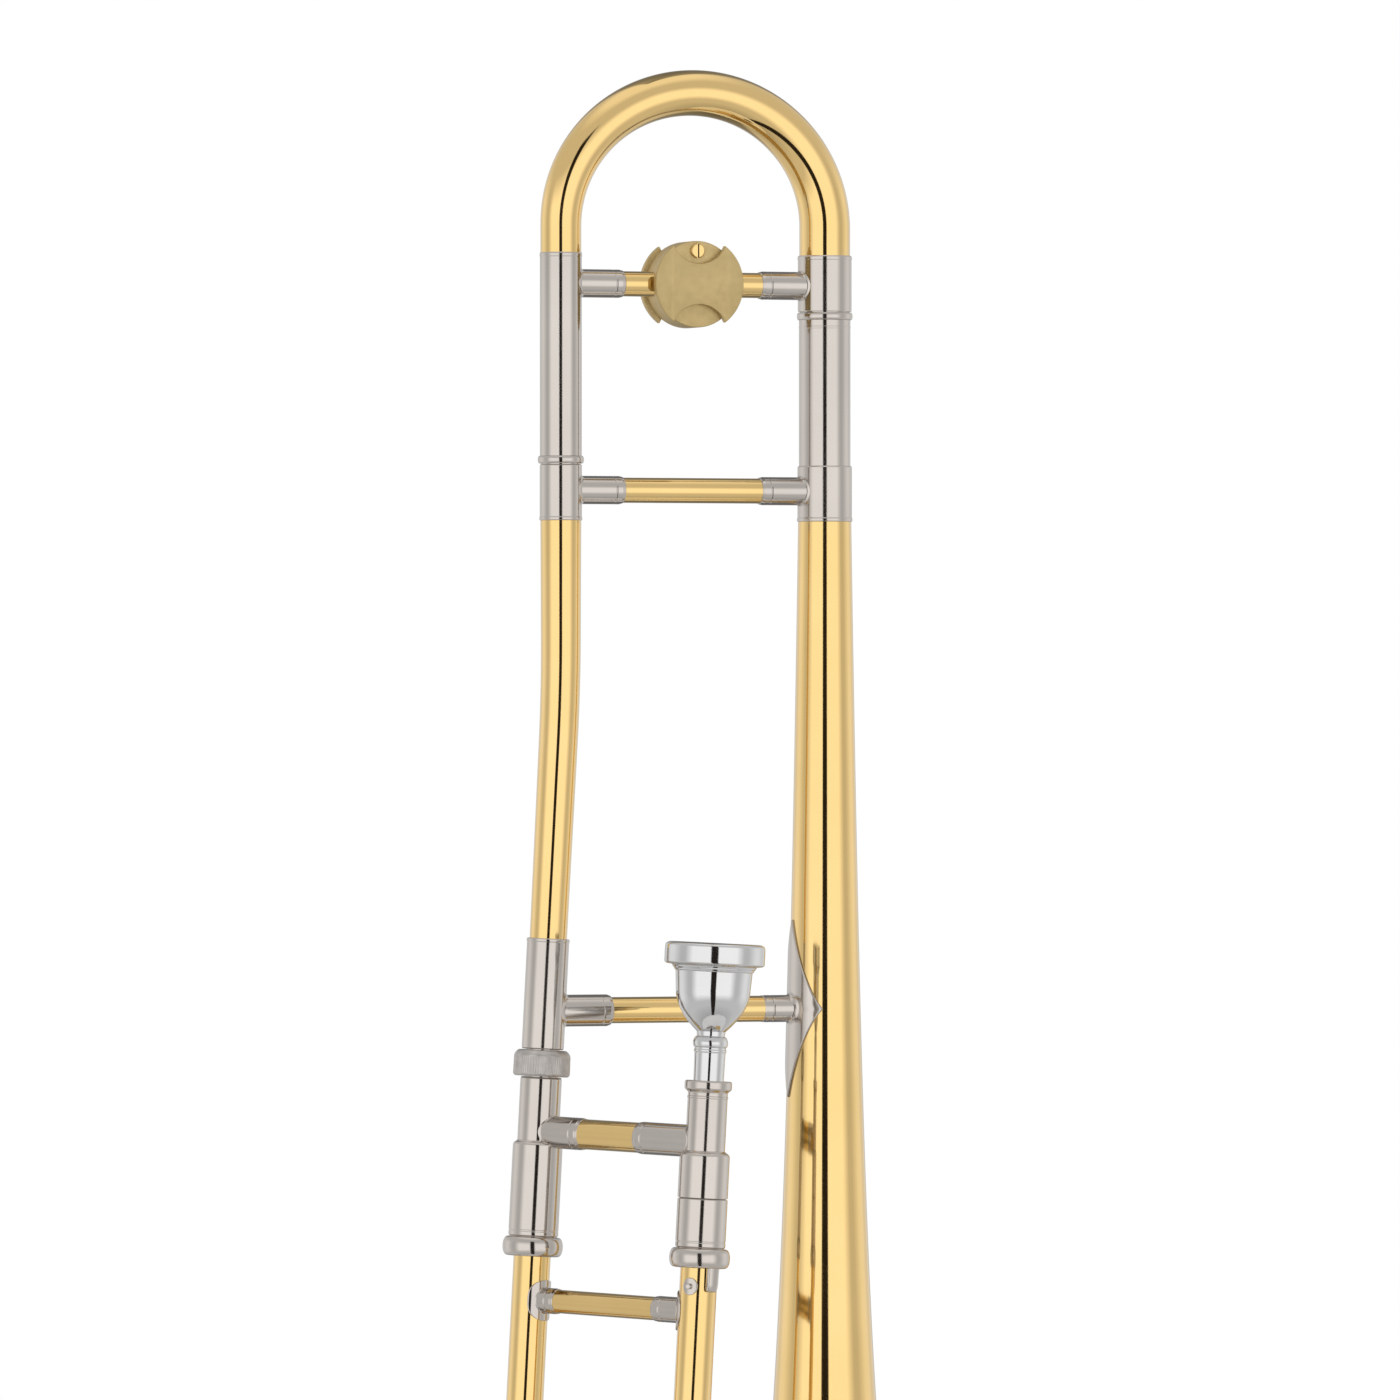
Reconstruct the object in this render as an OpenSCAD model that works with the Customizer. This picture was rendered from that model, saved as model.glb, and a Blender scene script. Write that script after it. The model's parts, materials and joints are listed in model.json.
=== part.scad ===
// Straight tenor trombone: bell section, tuning slide, hand slide and mouthpiece.
// Frame: +Z is up the bell axis, the origin is the centre of the bell rim,
// and the neck leg stands on the -X side of the bell.

/* [Bell section] */
// Diameter of the bell rim
bell_rim_d = 200; // [190:1:206]
// Distance between the neck leg and the bell leg
leg_spacing = 111; // [108:0.5:116]
// Outer diameter of the bell stem where it leaves its ferrule
bell_stem_d = 21; // [20:0.1:22]
// Length of the bell from rim to ferrule
bell_length = 526; // [520:1:530]
// Wall of the bell
bell_wall = 0.8; // [0.5:0.1:1]
// Outer diameter of the neckpipe at the top
neck_top_d = 16; // [15.6:0.1:16.2]
// Outer diameter of the neckpipe at the bottom
neck_low_d = 14.6; // [14:0.1:15]

/* [Tuning slide] */
// Height of the crown of the bow above the springline
bow_height = 52.5; // [50:0.5:56]
// Outer diameter of the bow on the neck side
bow_small_d = 16; // [15.6:0.1:16.4]
// Outer diameter of the bow on the bell side
bow_large_d = 20; // [19:0.1:20.4]
// Diameter of the round body of the counterweight
weight_d = 34; // [30:0.5:36]

/* [Hand slide] */
// Distance between the two slide tubes
slide_spacing = 80; // [78:0.5:84]
// Lean of the slide away from the bell
slide_tilt = 3.1; // [2:0.1:3.6]
// Angle between the slide plane and the bell plane
slide_turn = 56; // [54:1:90]
// Outer diameter of the outer slide tubes
outer_tube_d = 14.5; // [14:0.1:14.8]
// Bore radius of the outer slide tubes
outer_tube_bore_r = 6.8; // [6.75:0.05:6.9]
// Outer diameter of the cork barrels
barrel_d = 19.5; // [19:0.1:20.5]
// Distance from the lock nut's top down to the end of the slide tubes
tube_end = 700; // [690:1:710]

/* [Mouthpiece] */
// Diameter of the mouthpiece rim
rim_d = 39; // [37:0.5:39.5]
// Bore of the mouthpiece throat
throat_d = 6.5; // [6:0.1:7]

/* [Hidden] */
$fn = 96;

// Colours
lacquer = "goldenrod";
nickel = "silver";
plated = "gainsboro";
khaki = "darkkhaki";

// Small allowances
fit = 0.05;         // running fit of one tube in another
face_gap = 0.3;     // between end faces of pieces that part

// Bell section levels, measured up from the rim
neck_x = -leg_spacing;
rim_r = bell_rim_d / 2;
flare_c = 13.6;     // length that sets how fast the flare opens
flare_power = 0.6;
rim_wire_r = 1.6;
ferrule_low_z = bell_length;
ferrule_top_z = 548;
sleeve_top_z = 605.6;
right_ring_top_z = 608.6;
bow_ferrule_low_z = right_ring_top_z + face_gap;
bow_start_z = 631;
springline_z = 694.4 - bow_height;
bell_brace_z = 538;
bow_brace_z = 619;
neck_ferrule_top_z = 362;
slide_top_z = 319;
lower_brace_z = 334;
flange_z = 334;
bend_top_z = 480;
bend_low_z = 438;
bend_mid_z = (bend_top_z + bend_low_z) / 2;

// Radii of the legs
neck_ferrule_r = 8.25;
left_sleeve_r = 8.2;
left_sleeve_bore_r = 7.75;
bell_ferrule_r = 10.75;
bell_sleeve_r = 10.15;
bell_sleeve_bore_r = 9.7;
ring_reach = 0.85;
leg_wall = 0.45;

// Braces
brace_r = 4.95;
socket_r = 5.55;
socket_len = 17.5;
lower_brace_r = 5.15;
lower_socket_r = 6.25;
spigot_r = 5.35;

// Slide stations, measured down from the top of the lock nut
nut_len = 10.6;
nut_r = 11.2;
collar_r = 8.1;
shoulder_top = 36;
shoulder_low = 39;
barrel_low = 73;
bead_low = 81;
bead_r = 11.8;
lock_top = 54;
barrel_r = barrel_d / 2;
barrel_bore_r = 8.6;
lock_seat_r = 9.05;
inner_brace_s = 32.2;
inner_brace_r = 5.9;
inner_socket_r = 6.3;
outer_brace_s = 98;
outer_brace_r = 4.6;
outer_socket_r = 5.05;
outer_top = 58;
crook_start = 686;
outer_r = outer_tube_d / 2;
inner_r = 6.6;
inner_bore_r = 6.25;
stocking_r = outer_tube_bore_r - fit;
stocking_len = 110;
inner_end = 684;
receiver_top = 8.5;
receiver_r = 7.75;
shank_end = 34.5;
mouth_top = -45;

// Foot of the slide
bow_r = slide_spacing / 2;
cap_low = tube_end + bow_r + outer_r + 5;
foot_s = cap_low + 6;

// Water key, on the crook
key_angle = 30;
key_lean = 30;
key_lift = 5;       // pivot height above the tube
key_reach = 20;     // from the pivot to the nipple
finger_lean = 14;   // slope of the finger end away from the tube

function bell_r(z) = rim_r * pow((z + flare_c) / flare_c, -flare_power)
    + (bell_stem_d / 2 - rim_r * pow((bell_length + flare_c) / flare_c, -flare_power))
    * pow(z / bell_length, 3);

// Points along the bell, closer together towards the rim
bell_steps = 44;
function bell_z(i) = bell_length * pow(i / bell_steps, 2.2);

module pipe(r_out, r_in, z0, z1) {
    translate([0, 0, z0]) difference() {
        cylinder(r = r_out, h = z1 - z0);
        translate([0, 0, -1]) cylinder(r = r_in, h = z1 - z0 + 2);
    }
}

module bead(r_out, r_in, z0, z1) {
    half = (z1 - z0) / 2;
    rotate_extrude() difference() {
        union() {
            translate([r_in, z0]) square([r_out - half - r_in, z1 - z0]);
            translate([r_out - half, z0 + half]) circle(r = half);
        }
        translate([r_in - 2 * half, z0]) square([2 * half, z1 - z0]);
    }
}

// A tube lying along +X from x0 to x1 at height z
module bar(r, x0, x1, z) {
    translate([x0, 0, z]) rotate([0, 90, 0]) cylinder(r = r, h = x1 - x0);
}

module at_neck() { translate([neck_x, 0, 0]) children(); }

// Slide frame: the neck-side tube runs down -Z, the mouthpiece tube stands at x = slide_spacing
module at_slide() {
    translate([neck_x - (bend_mid_z - slide_top_z) * tan(slide_tilt), 0, slide_top_z])
        rotate([0, slide_tilt, 0]) rotate([0, 0, -slide_turn]) children();
}
module at_right() { at_slide() translate([slide_spacing, 0, 0]) children(); }

// Pipe between two stations down the slide
module slide_pipe(r_out, r_in, s0, s1) { pipe(r_out, r_in, -s1, -s0); }

// ---------------------------------------------------------------- bell section

module bell() {
    color(lacquer) rotate_extrude() polygon(concat(
        [for (i = [0 : bell_steps]) [bell_r(bell_z(i)), bell_z(i)]],
        [for (i = [bell_steps : -1 : 0]) [bell_r(bell_z(i)) - bell_wall, bell_z(i)]]
    ));
}

module bell_rim_wire() {
    color(lacquer) rotate_extrude() difference() {
        translate([rim_r - 0.4, 0]) circle(r = rim_wire_r);
        polygon([[rim_r - 10, 2.4], [rim_r - bell_wall, 0], [rim_r, 0], [rim_r - 4.5, 3]]);
        translate([rim_r - 10, 0]) square([20, 5]);
    }
}

module bell_ferrule() {
    color(nickel) difference() {
        pipe(bell_ferrule_r, bell_stem_d / 2 - bell_wall, ferrule_low_z, ferrule_top_z);
        bar(1.6, -20, 0, bell_brace_z);
    }
}

module bell_sleeve() {
    color(nickel) pipe(bell_sleeve_r, bell_sleeve_bore_r, ferrule_top_z, sleeve_top_z);
}

module bell_sleeve_ring() {
    color(nickel) bead(bell_sleeve_r + ring_reach, bell_sleeve_bore_r, sleeve_top_z, right_ring_top_z);
}

// A hollow tube swept along centres that lie in the XZ plane. Each station is [centre, normal, radius].
tube_sides = 36;
function ring_at(station, wall) = [for (j = [0 : tube_sides - 1]) let (a = 360 * j / tube_sides)
    station[0] + (station[2] - wall) * (cos(a) * station[1] + sin(a) * [0, 1, 0])];
module swept_tube(stations, wall) {
    last = len(stations) - 1;
    inner = (last + 1) * tube_sides;
    function at(i, j) = i * tube_sides + j % tube_sides;
    steps = [for (i = [0 : last - 1]) for (j = [0 : tube_sides - 1]) [i, j]];
    polyhedron(
        points = concat(
            [for (station = stations) each ring_at(station, 0)],
            [for (station = stations) each ring_at(station, wall)]
        ),
        faces = concat(
            [for (s = steps) [at(s[0], s[1]), at(s[0], s[1] + 1), at(s[0] + 1, s[1] + 1), at(s[0] + 1, s[1])]],
            [for (s = steps) [inner + at(s[0], s[1]), inner + at(s[0] + 1, s[1]),
                inner + at(s[0] + 1, s[1] + 1), inner + at(s[0], s[1] + 1)]],
            [for (j = [0 : tube_sides - 1]) [at(0, j), inner + at(0, j), inner + at(0, j + 1), at(0, j + 1)]],
            [for (j = [0 : tube_sides - 1])
                [at(last, j), at(last, j + 1), inner + at(last, j + 1), inner + at(last, j)]]
        )
    );
}

// The neckpipe is straight, bends gently away from the bell, and is straight again
bend_steps = 8;
bend_r = (bend_top_z - bend_low_z) / sin(slide_tilt);
neck_low_z = neck_ferrule_top_z + 0.6;
function neck_r(z) = neck_low_d / 2
    + (neck_top_d - neck_low_d) / 2 * (z - neck_low_z) / (ferrule_low_z - neck_low_z);
function neck_station(x, z, lean) = [[x, 0, z], [cos(lean), 0, -sin(lean)], neck_r(z)];
neck_stations = concat(
    [neck_station(neck_x, ferrule_low_z, 0)],
    [for (i = [0 : bend_steps]) let (a = slide_tilt * i / bend_steps)
        neck_station(neck_x - bend_r * (1 - cos(a)), bend_top_z - bend_r * sin(a), a)],
    [neck_station(neck_x - (bend_mid_z - neck_low_z) * tan(slide_tilt), neck_low_z, slide_tilt)]
);
module neckpipe() {
    color(lacquer) swept_tube(neck_stations, 0.6);
}

module neck_upper_ferrule() {
    color(nickel) at_neck()
        pipe(neck_ferrule_r, neck_top_d / 2 - 0.6, ferrule_low_z, ferrule_top_z);
}

module neck_inner_leg() {
    color(nickel) at_neck()
        pipe(left_sleeve_bore_r - fit, left_sleeve_bore_r - fit - leg_wall, ferrule_top_z, bow_start_z - 8);
}

neck_ferrule_len = (neck_ferrule_top_z - slide_top_z) / cos(slide_tilt);
module neck_lower_ferrule() {
    color(nickel) at_slide() slide_pipe(neck_ferrule_r, neck_low_d / 2 - 0.6, -neck_ferrule_len, 0);
}

module neck_tenon() {
    color(nickel) at_slide() slide_pipe(6.6, 5.9, 0, nut_len + 9);
}

// A brace across the bell section at height z, between two leg radii
module leg_socket(x0, x1, z, leg_x, leg_r) {
    difference() {
        bar(socket_r, x0, x1, z);
        translate([leg_x, 0, z - 20]) cylinder(r = leg_r, h = 40);
    }
}

module bell_brace_tube() {
    color(lacquer) bar(brace_r, neck_x + 8 + socket_len, -10.5 - socket_len, bell_brace_z);
}
module bell_brace_neck_socket() {
    color(nickel) leg_socket(neck_x + 5, neck_x + 8 + socket_len, bell_brace_z, neck_x, neck_ferrule_r);
}
module bell_brace_bell_socket() {
    color(nickel) leg_socket(-10.5 - socket_len, -7, bell_brace_z, 0, bell_ferrule_r);
}

// The lower brace stands between the leaning neck ferrule and the bell stem
lower_neck_x = neck_x - (bend_mid_z - lower_brace_z) * tan(slide_tilt);
module lower_brace_tube() {
    color(lacquer) bar(lower_brace_r, lower_neck_x + 27, -27, lower_brace_z);
}
module lower_brace_neck_socket() {
    color(nickel) difference() {
        bar(lower_socket_r, lower_neck_x + 4, lower_neck_x + 27, lower_brace_z);
        at_slide() translate([0, 0, -25]) cylinder(r = neck_ferrule_r, h = 90);
    }
}

// Diamond plate wrapped round the stem, with a spigot that carries the brace
flange_half_h = 35;
flange_half_angle = 66;
plate_wall = 0.9;
module flange_shell(extra) {
    rotate_extrude() polygon(concat(
        [for (i = [-8 : 8]) [bell_r(flange_z + i * 5) + extra, flange_z + i * 5]],
        [for (i = [8 : -1 : -8]) [bell_r(flange_z + i * 5), flange_z + i * 5]]
    ));
}
module bell_flange() {
    color(nickel) {
        intersection() {
            flange_shell(plate_wall);
            translate([0, 0, flange_z]) rotate([0, -90, 0]) linear_extrude(height = 40)
                polygon([[-flange_half_h, 0], [0, flange_half_w], [flange_half_h, 0], [0, -flange_half_w]]);
        }
        difference() {
            bar(spigot_r, -27, -8, lower_brace_z);
            rotate_extrude() polygon(concat(
                [[0, flange_z - 40]],
                [for (i = [-8 : 8]) [bell_r(flange_z + i * 5) + plate_wall, flange_z + i * 5]],
                [[0, flange_z + 40]]
            ));
        }
    }
}
flange_half_w = bell_r(flange_z) * sin(flange_half_angle);

// ------------------------------------------------------------------- lock nut

module lock_nut() {
    color(nickel) at_slide() rotate_extrude() polygon([
        [neck_ferrule_r - 1.4, -0.3], [nut_r - 1.6, -0.3], [nut_r, -2], [nut_r, -nut_len + 0.8],
        [nut_r - 0.8, -nut_len], [neck_ferrule_r - 1.4, -nut_len]
    ]);
}

// --------------------------------------------------------------- tuning slide

// The bow is half an oval on two short straight ends, growing from the neck side to the bell side
bow_half = leg_spacing / 2;
bow_steps = 28;
function bow_station(x, z, a) = [[x, 0, z],
    let (n = [-bow_height * cos(a), 0, bow_half * sin(a)]) n / norm(n),
    (bow_small_d + (bow_large_d - bow_small_d) * a / 180) / 2];
module tuning_bow() {
    color(lacquer) swept_tube(concat(
        [bow_station(neck_x, bow_start_z, 0)],
        [for (i = [0 : bow_steps]) let (a = 180 * i / bow_steps)
            bow_station(-bow_half - bow_half * cos(a), springline_z + bow_height * sin(a), a)],
        [bow_station(0, bow_start_z, 180)]
    ), 0.8);
}

module bow_left_sleeve() {
    color(nickel) at_neck()
        pipe(left_sleeve_r, left_sleeve_bore_r, ferrule_top_z + 3.3, bow_start_z);
}
module bow_left_ring() {
    color(nickel) at_neck()
        bead(left_sleeve_r + ring_reach, left_sleeve_bore_r, ferrule_top_z + face_gap, ferrule_top_z + 3.3);
}
module bow_right_ferrule() {
    color(nickel) pipe(bell_ferrule_r - 0.15, bell_sleeve_bore_r - fit, bow_ferrule_low_z, bow_start_z);
}
module bow_right_leg() {
    color(nickel)
        pipe(bell_sleeve_bore_r - fit, bell_sleeve_bore_r - fit - leg_wall, ferrule_top_z + 4, bow_start_z);
}

module bow_brace_tube() {
    color(lacquer) bar(brace_r, neck_x + 8 + socket_len, -10.5 - socket_len, bow_brace_z);
}
module bow_brace_left_socket() {
    color(nickel) leg_socket(neck_x + 5, neck_x + 8 + socket_len, bow_brace_z, neck_x, left_sleeve_r);
}
module bow_brace_right_socket() {
    color(nickel) leg_socket(-10.5 - socket_len, -7, bow_brace_z, 0, bell_ferrule_r - 0.15);
}

// Counterweight: two plates with scooped tops and bottoms, clamped on a round body
weight_x = -56.3;
weight_r = weight_d / 2;
plate_r = 18.5;
plate_t = 3;
weight_half_t = 6.5;
scoop_r = 11.8;
scoop_z = 19.8;
clamp_screw_z = 13.1;   // above the brace, in the top scoop
module weight_plate(y) {
    color(khaki) translate([weight_x, y, bow_brace_z]) rotate([90, 0, 0]) difference() {
        cylinder(r = plate_r, h = plate_t);
        for (side = [-1, 1]) translate([0, side * scoop_z, -1]) cylinder(r = scoop_r, h = plate_t + 2);
    }
}
module counterweight_front() { weight_plate(-weight_half_t); }
module counterweight_rear() { weight_plate(weight_half_t + plate_t); }
module counterweight_core() {
    color(khaki) difference() {
        translate([weight_x, weight_half_t, bow_brace_z]) rotate([90, 0, 0])
            cylinder(r = weight_r, h = 2 * weight_half_t);
        bar(brace_r, weight_x - 30, weight_x + 30, bow_brace_z);
        clamp_screw_shank(1);
    }
}
module clamp_screw_shank(past) {
    translate([weight_x, -weight_half_t - past, bow_brace_z + clamp_screw_z]) rotate([-90, 0, 0])
        cylinder(r = 1.8, h = 6 + past);
}
module counterweight_screw() {
    color(lacquer) {
        clamp_screw_shank(0);
        translate([weight_x, -weight_half_t, bow_brace_z + clamp_screw_z]) rotate([90, 0, 0])
            cylinder(r = 2.9, h = 1.1);
    }
}

// ----------------------------------------------------------------- inner slide

module slide_collar() {
    color(nickel) at_slide() slide_pipe(collar_r, 6.6 + fit, nut_len + face_gap, shoulder_top);
}

module barrel_shape(top) {
    rotate_extrude() polygon([
        [inner_r, -top], [collar_r, -top], [barrel_r, -shoulder_low],
        [barrel_r, -barrel_low], [barrel_bore_r, -barrel_low], [barrel_bore_r, -shoulder_low - 1],
        [inner_r, -shoulder_low - 1]
    ]);
}
module left_cork_barrel() {
    color(nickel) at_slide() {
        barrel_shape(shoulder_top);
        bead(bead_r, outer_r + face_gap, -bead_low, -barrel_low);
    }
}
module right_cork_barrel() {
    color(nickel) at_right() rotate_extrude() polygon([
        [inner_r, -shoulder_top], [receiver_r, -shoulder_top], [barrel_r, -shoulder_low],
        [barrel_r, -lock_top], [lock_seat_r - fit, -lock_top], [lock_seat_r - fit, -bead_low + 3],
        [barrel_bore_r, -bead_low + 3], [barrel_bore_r, -shoulder_low - 1], [inner_r, -shoulder_low - 1]
    ]);
}
module inner_tube() { slide_pipe(inner_r, inner_bore_r, shoulder_top, inner_end - stocking_len); }
module left_inner_tube() { color(plated) at_slide() inner_tube(); }
module right_inner_tube() { color(plated) at_right() inner_tube(); }
module stocking() { slide_pipe(stocking_r, inner_bore_r, inner_end - stocking_len, inner_end); }
module left_stocking() { color(plated) at_slide() stocking(); }
module right_stocking() { color(plated) at_right() stocking(); }

function shank_r(s) = 5.9 - (s - receiver_top) / 40;
module mouthpiece_receiver() {
    color(nickel) at_right() rotate_extrude() polygon([
        [shank_r(receiver_top) + fit, -receiver_top], [9.2, -receiver_top],
        [9.2, -receiver_top - 3.2], [8.6, -receiver_top - 3.8], [receiver_r, -receiver_top - 4],
        [receiver_r, -shoulder_top], [shank_r(shank_end) + fit, -shoulder_top],
        [shank_r(shank_end) + fit, -shank_end]
    ]);
}
module leadpipe() { color(lacquer) at_right() slide_pipe(inner_bore_r, 5.6, shoulder_top, 230); }

// A socket on the inner slide, shaped to the tube and to the barrel's shoulder below it
module inner_socket(x0, x1, leg_x, leg_r) {
    difference() {
        bar(inner_socket_r, x0, x1, -inner_brace_s);
        translate([leg_x, 0, -shoulder_top]) cylinder(r = leg_r, h = 40);
        translate([leg_x, 0, -shoulder_low]) cylinder(r1 = barrel_r, r2 = leg_r, h = shoulder_low - shoulder_top);
    }
}
module inner_brace_tube() { color(lacquer) at_slide() bar(inner_brace_r, 22.5, 49, -inner_brace_s); }
module inner_brace_left_socket() {
    color(nickel) at_slide() inner_socket(4, 22.5, 0, collar_r);
}
module inner_brace_right_socket() {
    color(nickel) at_slide() inner_socket(49, slide_spacing - 4, slide_spacing, receiver_r);
}
module barrel_corks() {
    color("peru") for (x = [0, slide_spacing]) at_slide() translate([x, 0, 0])
        slide_pipe(barrel_bore_r - 0.1, inner_r + 0.1, shoulder_low + 1, outer_top - face_gap);
}

// ------------------------------------------------------------------ slide lock

// Directions round the mouthpiece tube, from the side away from the other tube
lock_tab_at = -18;
lock_lug_at = -80;
module slide_lock_ring() {
    color(nickel) at_right() {
        slide_pipe(barrel_r, lock_seat_r, lock_top + face_gap, barrel_low);
        difference() {
            bead(bead_r, outer_r + face_gap, -bead_low, -barrel_low);
            translate([0, 0, -bead_low + 3 - face_gap]) cylinder(r = lock_seat_r, h = 10);
        }
        rotate([0, 0, lock_tab_at]) translate([8.1, -2.4, -90]) cube([2.2, 4.8, 11]);
    }
}

// ------------------------------------------------------------------ mouthpiece

cup_depth = 25;
// The outside of the cup is a parabola, from below the step under the rim to the neck
cup_outer_r = 14.5;
cup_neck_r = 5.6;
cup_shoulder = 18;   // depth below the rim where it starts to draw in
cup_neck = 34.4;
cup_steps = 9;
function cup_outside(t) = cup_neck_r + (cup_outer_r - cup_neck_r) * (1 - t * t);

module mouthpiece() {
    rim_r_m = rim_d / 2;
    top = -mouth_top;
    color(plated) at_right() rotate_extrude() polygon(concat([
        [12.6, top - 1.6], [13.4, top - 0.4], [14.6, top], [17.6, top], [rim_r_m - 0.4, top - 0.9],
        [rim_r_m, top - 2.4], [rim_r_m, top - 8], [rim_r_m - 0.8, top - 8.8],
        [16.2, top - 9.2], [15.6, top - 10.6], [14.9, top - 11.4]
    ], [for (i = [0 : cup_steps]) let (t = i / cup_steps)
        [cup_outside(t), top - cup_shoulder - t * (cup_neck - cup_shoulder)]
    ], [
        [5.4, top - 36.4],
        [6.6, top - 37.6], [6.8, top - 40], [6.3, top - 41.4], [6, top - 44],
        [shank_r(receiver_top), -receiver_top], [shank_r(shank_end), -shank_end],
        [4.9, -shank_end], [throat_d / 2, top - cup_depth - 10], [throat_d / 2, top - cup_depth],
        [6, top - cup_depth + 4], [9.4, top - cup_depth + 9], [11.6, top - cup_depth + 16]
    ]));
}

// ----------------------------------------------------------------- outer slide

module outer_tube() { slide_pipe(outer_r, outer_tube_bore_r, outer_top, crook_start); }
module left_outer_tube() { color(lacquer) at_slide() outer_tube(); }
module right_outer_tube() { color(lacquer) at_right() outer_tube(); }
module outer_brace_tube() { color(lacquer) at_slide() bar(outer_brace_r, 14, 61, -outer_brace_s); }

// A rounded plate that wraps the inward side of the tube, with the socket that takes the brace
module outer_saddle(x_socket) {
    intersection() {
        slide_pipe(outer_r + 0.7, outer_r, outer_brace_s - 8, outer_brace_s + 8);
        translate([0, 0, -outer_brace_s]) rotate([0, x_socket > 0 ? 90 : -90, 0])
            linear_extrude(height = outer_r + 2) scale([1.25, 1]) circle(r = 6.5);
    }
    difference() {
        bar(outer_socket_r, min(0, x_socket), max(0, x_socket), -outer_brace_s);
        translate([0, 0, -outer_brace_s - 20]) cylinder(r = outer_r + 0.35, h = 40);
    }
}
module left_outer_saddle() { color(nickel) at_slide() outer_saddle(14); }
module right_outer_saddle() { color(nickel) at_right() outer_saddle(61 - slide_spacing); }
// The lug that the tab of the lock ring catches: a post on a small rounded plate
lug_s = 88.2;
module lock_lug() {
    color(nickel) at_right() rotate([0, 0, lock_lug_at]) {
        intersection() {
            slide_pipe(outer_r + 0.6, outer_r, lug_s - 4, lug_s + 4);
            translate([0, 0, -lug_s]) rotate([0, 90, 0])
                linear_extrude(height = outer_r + 2) scale([1.1, 1]) circle(r = 3);
        }
        translate([outer_r + 0.4, 0, -lug_s]) rotate([0, 90, 0]) cylinder(r = 1.2, h = 2.2);
    }
}

module crook_ferrule() { slide_pipe(outer_r + 0.8, outer_r, crook_start - 13, crook_start + 13); }
module left_crook_ferrule() { color(nickel) at_slide() crook_ferrule(); }
module right_crook_ferrule() { color(nickel) at_right() crook_ferrule(); }

module crook_tube(r) {
    at_slide() {
        for (x = [0, slide_spacing]) translate([x, 0, -tube_end])
            cylinder(r = r, h = tube_end - crook_start);
        translate([bow_r, 0, -tube_end]) rotate([90, 0, 0]) rotate([0, 0, 180])
            rotate_extrude(angle = 180) translate([bow_r, 0]) circle(r = r);
    }
}
module crook() {
    color(lacquer) difference() {
        crook_tube(outer_r);
        crook_tube(outer_tube_bore_r);
        key_frame() rotate([90, 0, 0]) translate([0, -key_reach, 0]) cylinder(r = 1.6, h = 12, center = true);
    }
}

module bumper_cap() {
    color(nickel) at_slide() difference() {
        translate([bow_r, 0, -cap_low]) cylinder(r = 7.2, h = 9);
        translate([bow_r, 0, -tube_end]) rotate([90, 0, 0])
            rotate_extrude() translate([bow_r, 0]) circle(r = outer_r);
    }
}
module bumper_rubber() {
    color("dimgray") at_slide() translate([bow_r, 0, -foot_s]) rotate_extrude() polygon([
        [0, 0], [4.8, 0], [5.9, 0.5], [6.4, 1.8], [6.4, foot_s - cap_low], [0, foot_s - cap_low]
    ]);
}

// ------------------------------------------------------------------- water key

// Key frame: the pivot is the origin, the finger end is up +Z and the tube lies on the +Y side
module key_frame() {
    at_slide() translate([bow_r + bow_r * cos(key_angle) - 3.6, -outer_r - key_lift, -tube_end - bow_r * sin(key_angle) + 2])
        rotate([0, key_lean, 0]) children();
}
module water_key_nipple() {
    color(nickel) difference() {
        key_frame() rotate([90, 0, 0]) translate([0, -key_reach, -key_lift - 1.6]) difference() {
            cylinder(r = 3.4, h = key_lift + 1.6 - 1.9);
            translate([0, 0, -1]) cylinder(r = 1.6, h = 10);
        }
        crook_tube(outer_r);
    }
}
module water_key_bracket() {
    color(nickel) difference() {
        key_frame() {
            for (side = [-1, 1]) translate([side * 3.4 - 0.6, -2, -2.6]) cube([1.2, key_lift + 5, 5.2]);
            translate([-4, 2.6, -2.6]) cube([8, key_lift + 0.8, 5.2]);
        }
        crook_tube(outer_r);
        key_frame() rotate([0, 90, 0]) cylinder(r = 0.8, h = 12, center = true);
    }
}
module water_key_lever() {
    color(nickel) key_frame() difference() {
        union() {
            rotate([0, 90, 0]) cylinder(r = 1.9, h = 5, center = true);
            translate([-1.5, -1.9, -key_reach]) cube([3, 1.5, key_reach]);
            rotate([90, 0, 0]) translate([0, -key_reach, 0.4]) cylinder(r = 4.2, h = 1.5);
            rotate([finger_lean, 0, 0]) {
                translate([-1.5, -1.9, 0]) cube([3, 1.5, 22]);
                rotate([90, 0, 0]) translate([0, 25, 0.4]) cylinder(r = 5, h = 1.5);
            }
        }
        rotate([0, 90, 0]) cylinder(r = 0.8 + fit, h = 12, center = true);
    }
}
module water_key_cork() {
    color("peru") key_frame() rotate([90, 0, 0]) translate([0, -key_reach, -1.6]) cylinder(r = 3.7, h = 2);
}
module water_key_pin() {
    color("dimgray") key_frame() rotate([0, 90, 0]) cylinder(r = 0.8, h = 9, center = true);
}

bell();
bell_rim_wire();
bell_ferrule();
bell_sleeve();
bell_sleeve_ring();
neckpipe();
neck_upper_ferrule();
neck_inner_leg();
neck_lower_ferrule();
neck_tenon();
bell_brace_tube();
bell_brace_neck_socket();
bell_brace_bell_socket();
lower_brace_tube();
lower_brace_neck_socket();
bell_flange();
lock_nut();
tuning_bow();
bow_left_sleeve();
bow_left_ring();
bow_right_ferrule();
bow_right_leg();
bow_brace_tube();
bow_brace_left_socket();
bow_brace_right_socket();
counterweight_front();
counterweight_rear();
counterweight_core();
counterweight_screw();
slide_collar();
left_cork_barrel();
right_cork_barrel();
left_inner_tube();
right_inner_tube();
left_stocking();
right_stocking();
mouthpiece_receiver();
leadpipe();
inner_brace_tube();
inner_brace_left_socket();
inner_brace_right_socket();
barrel_corks();
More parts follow.
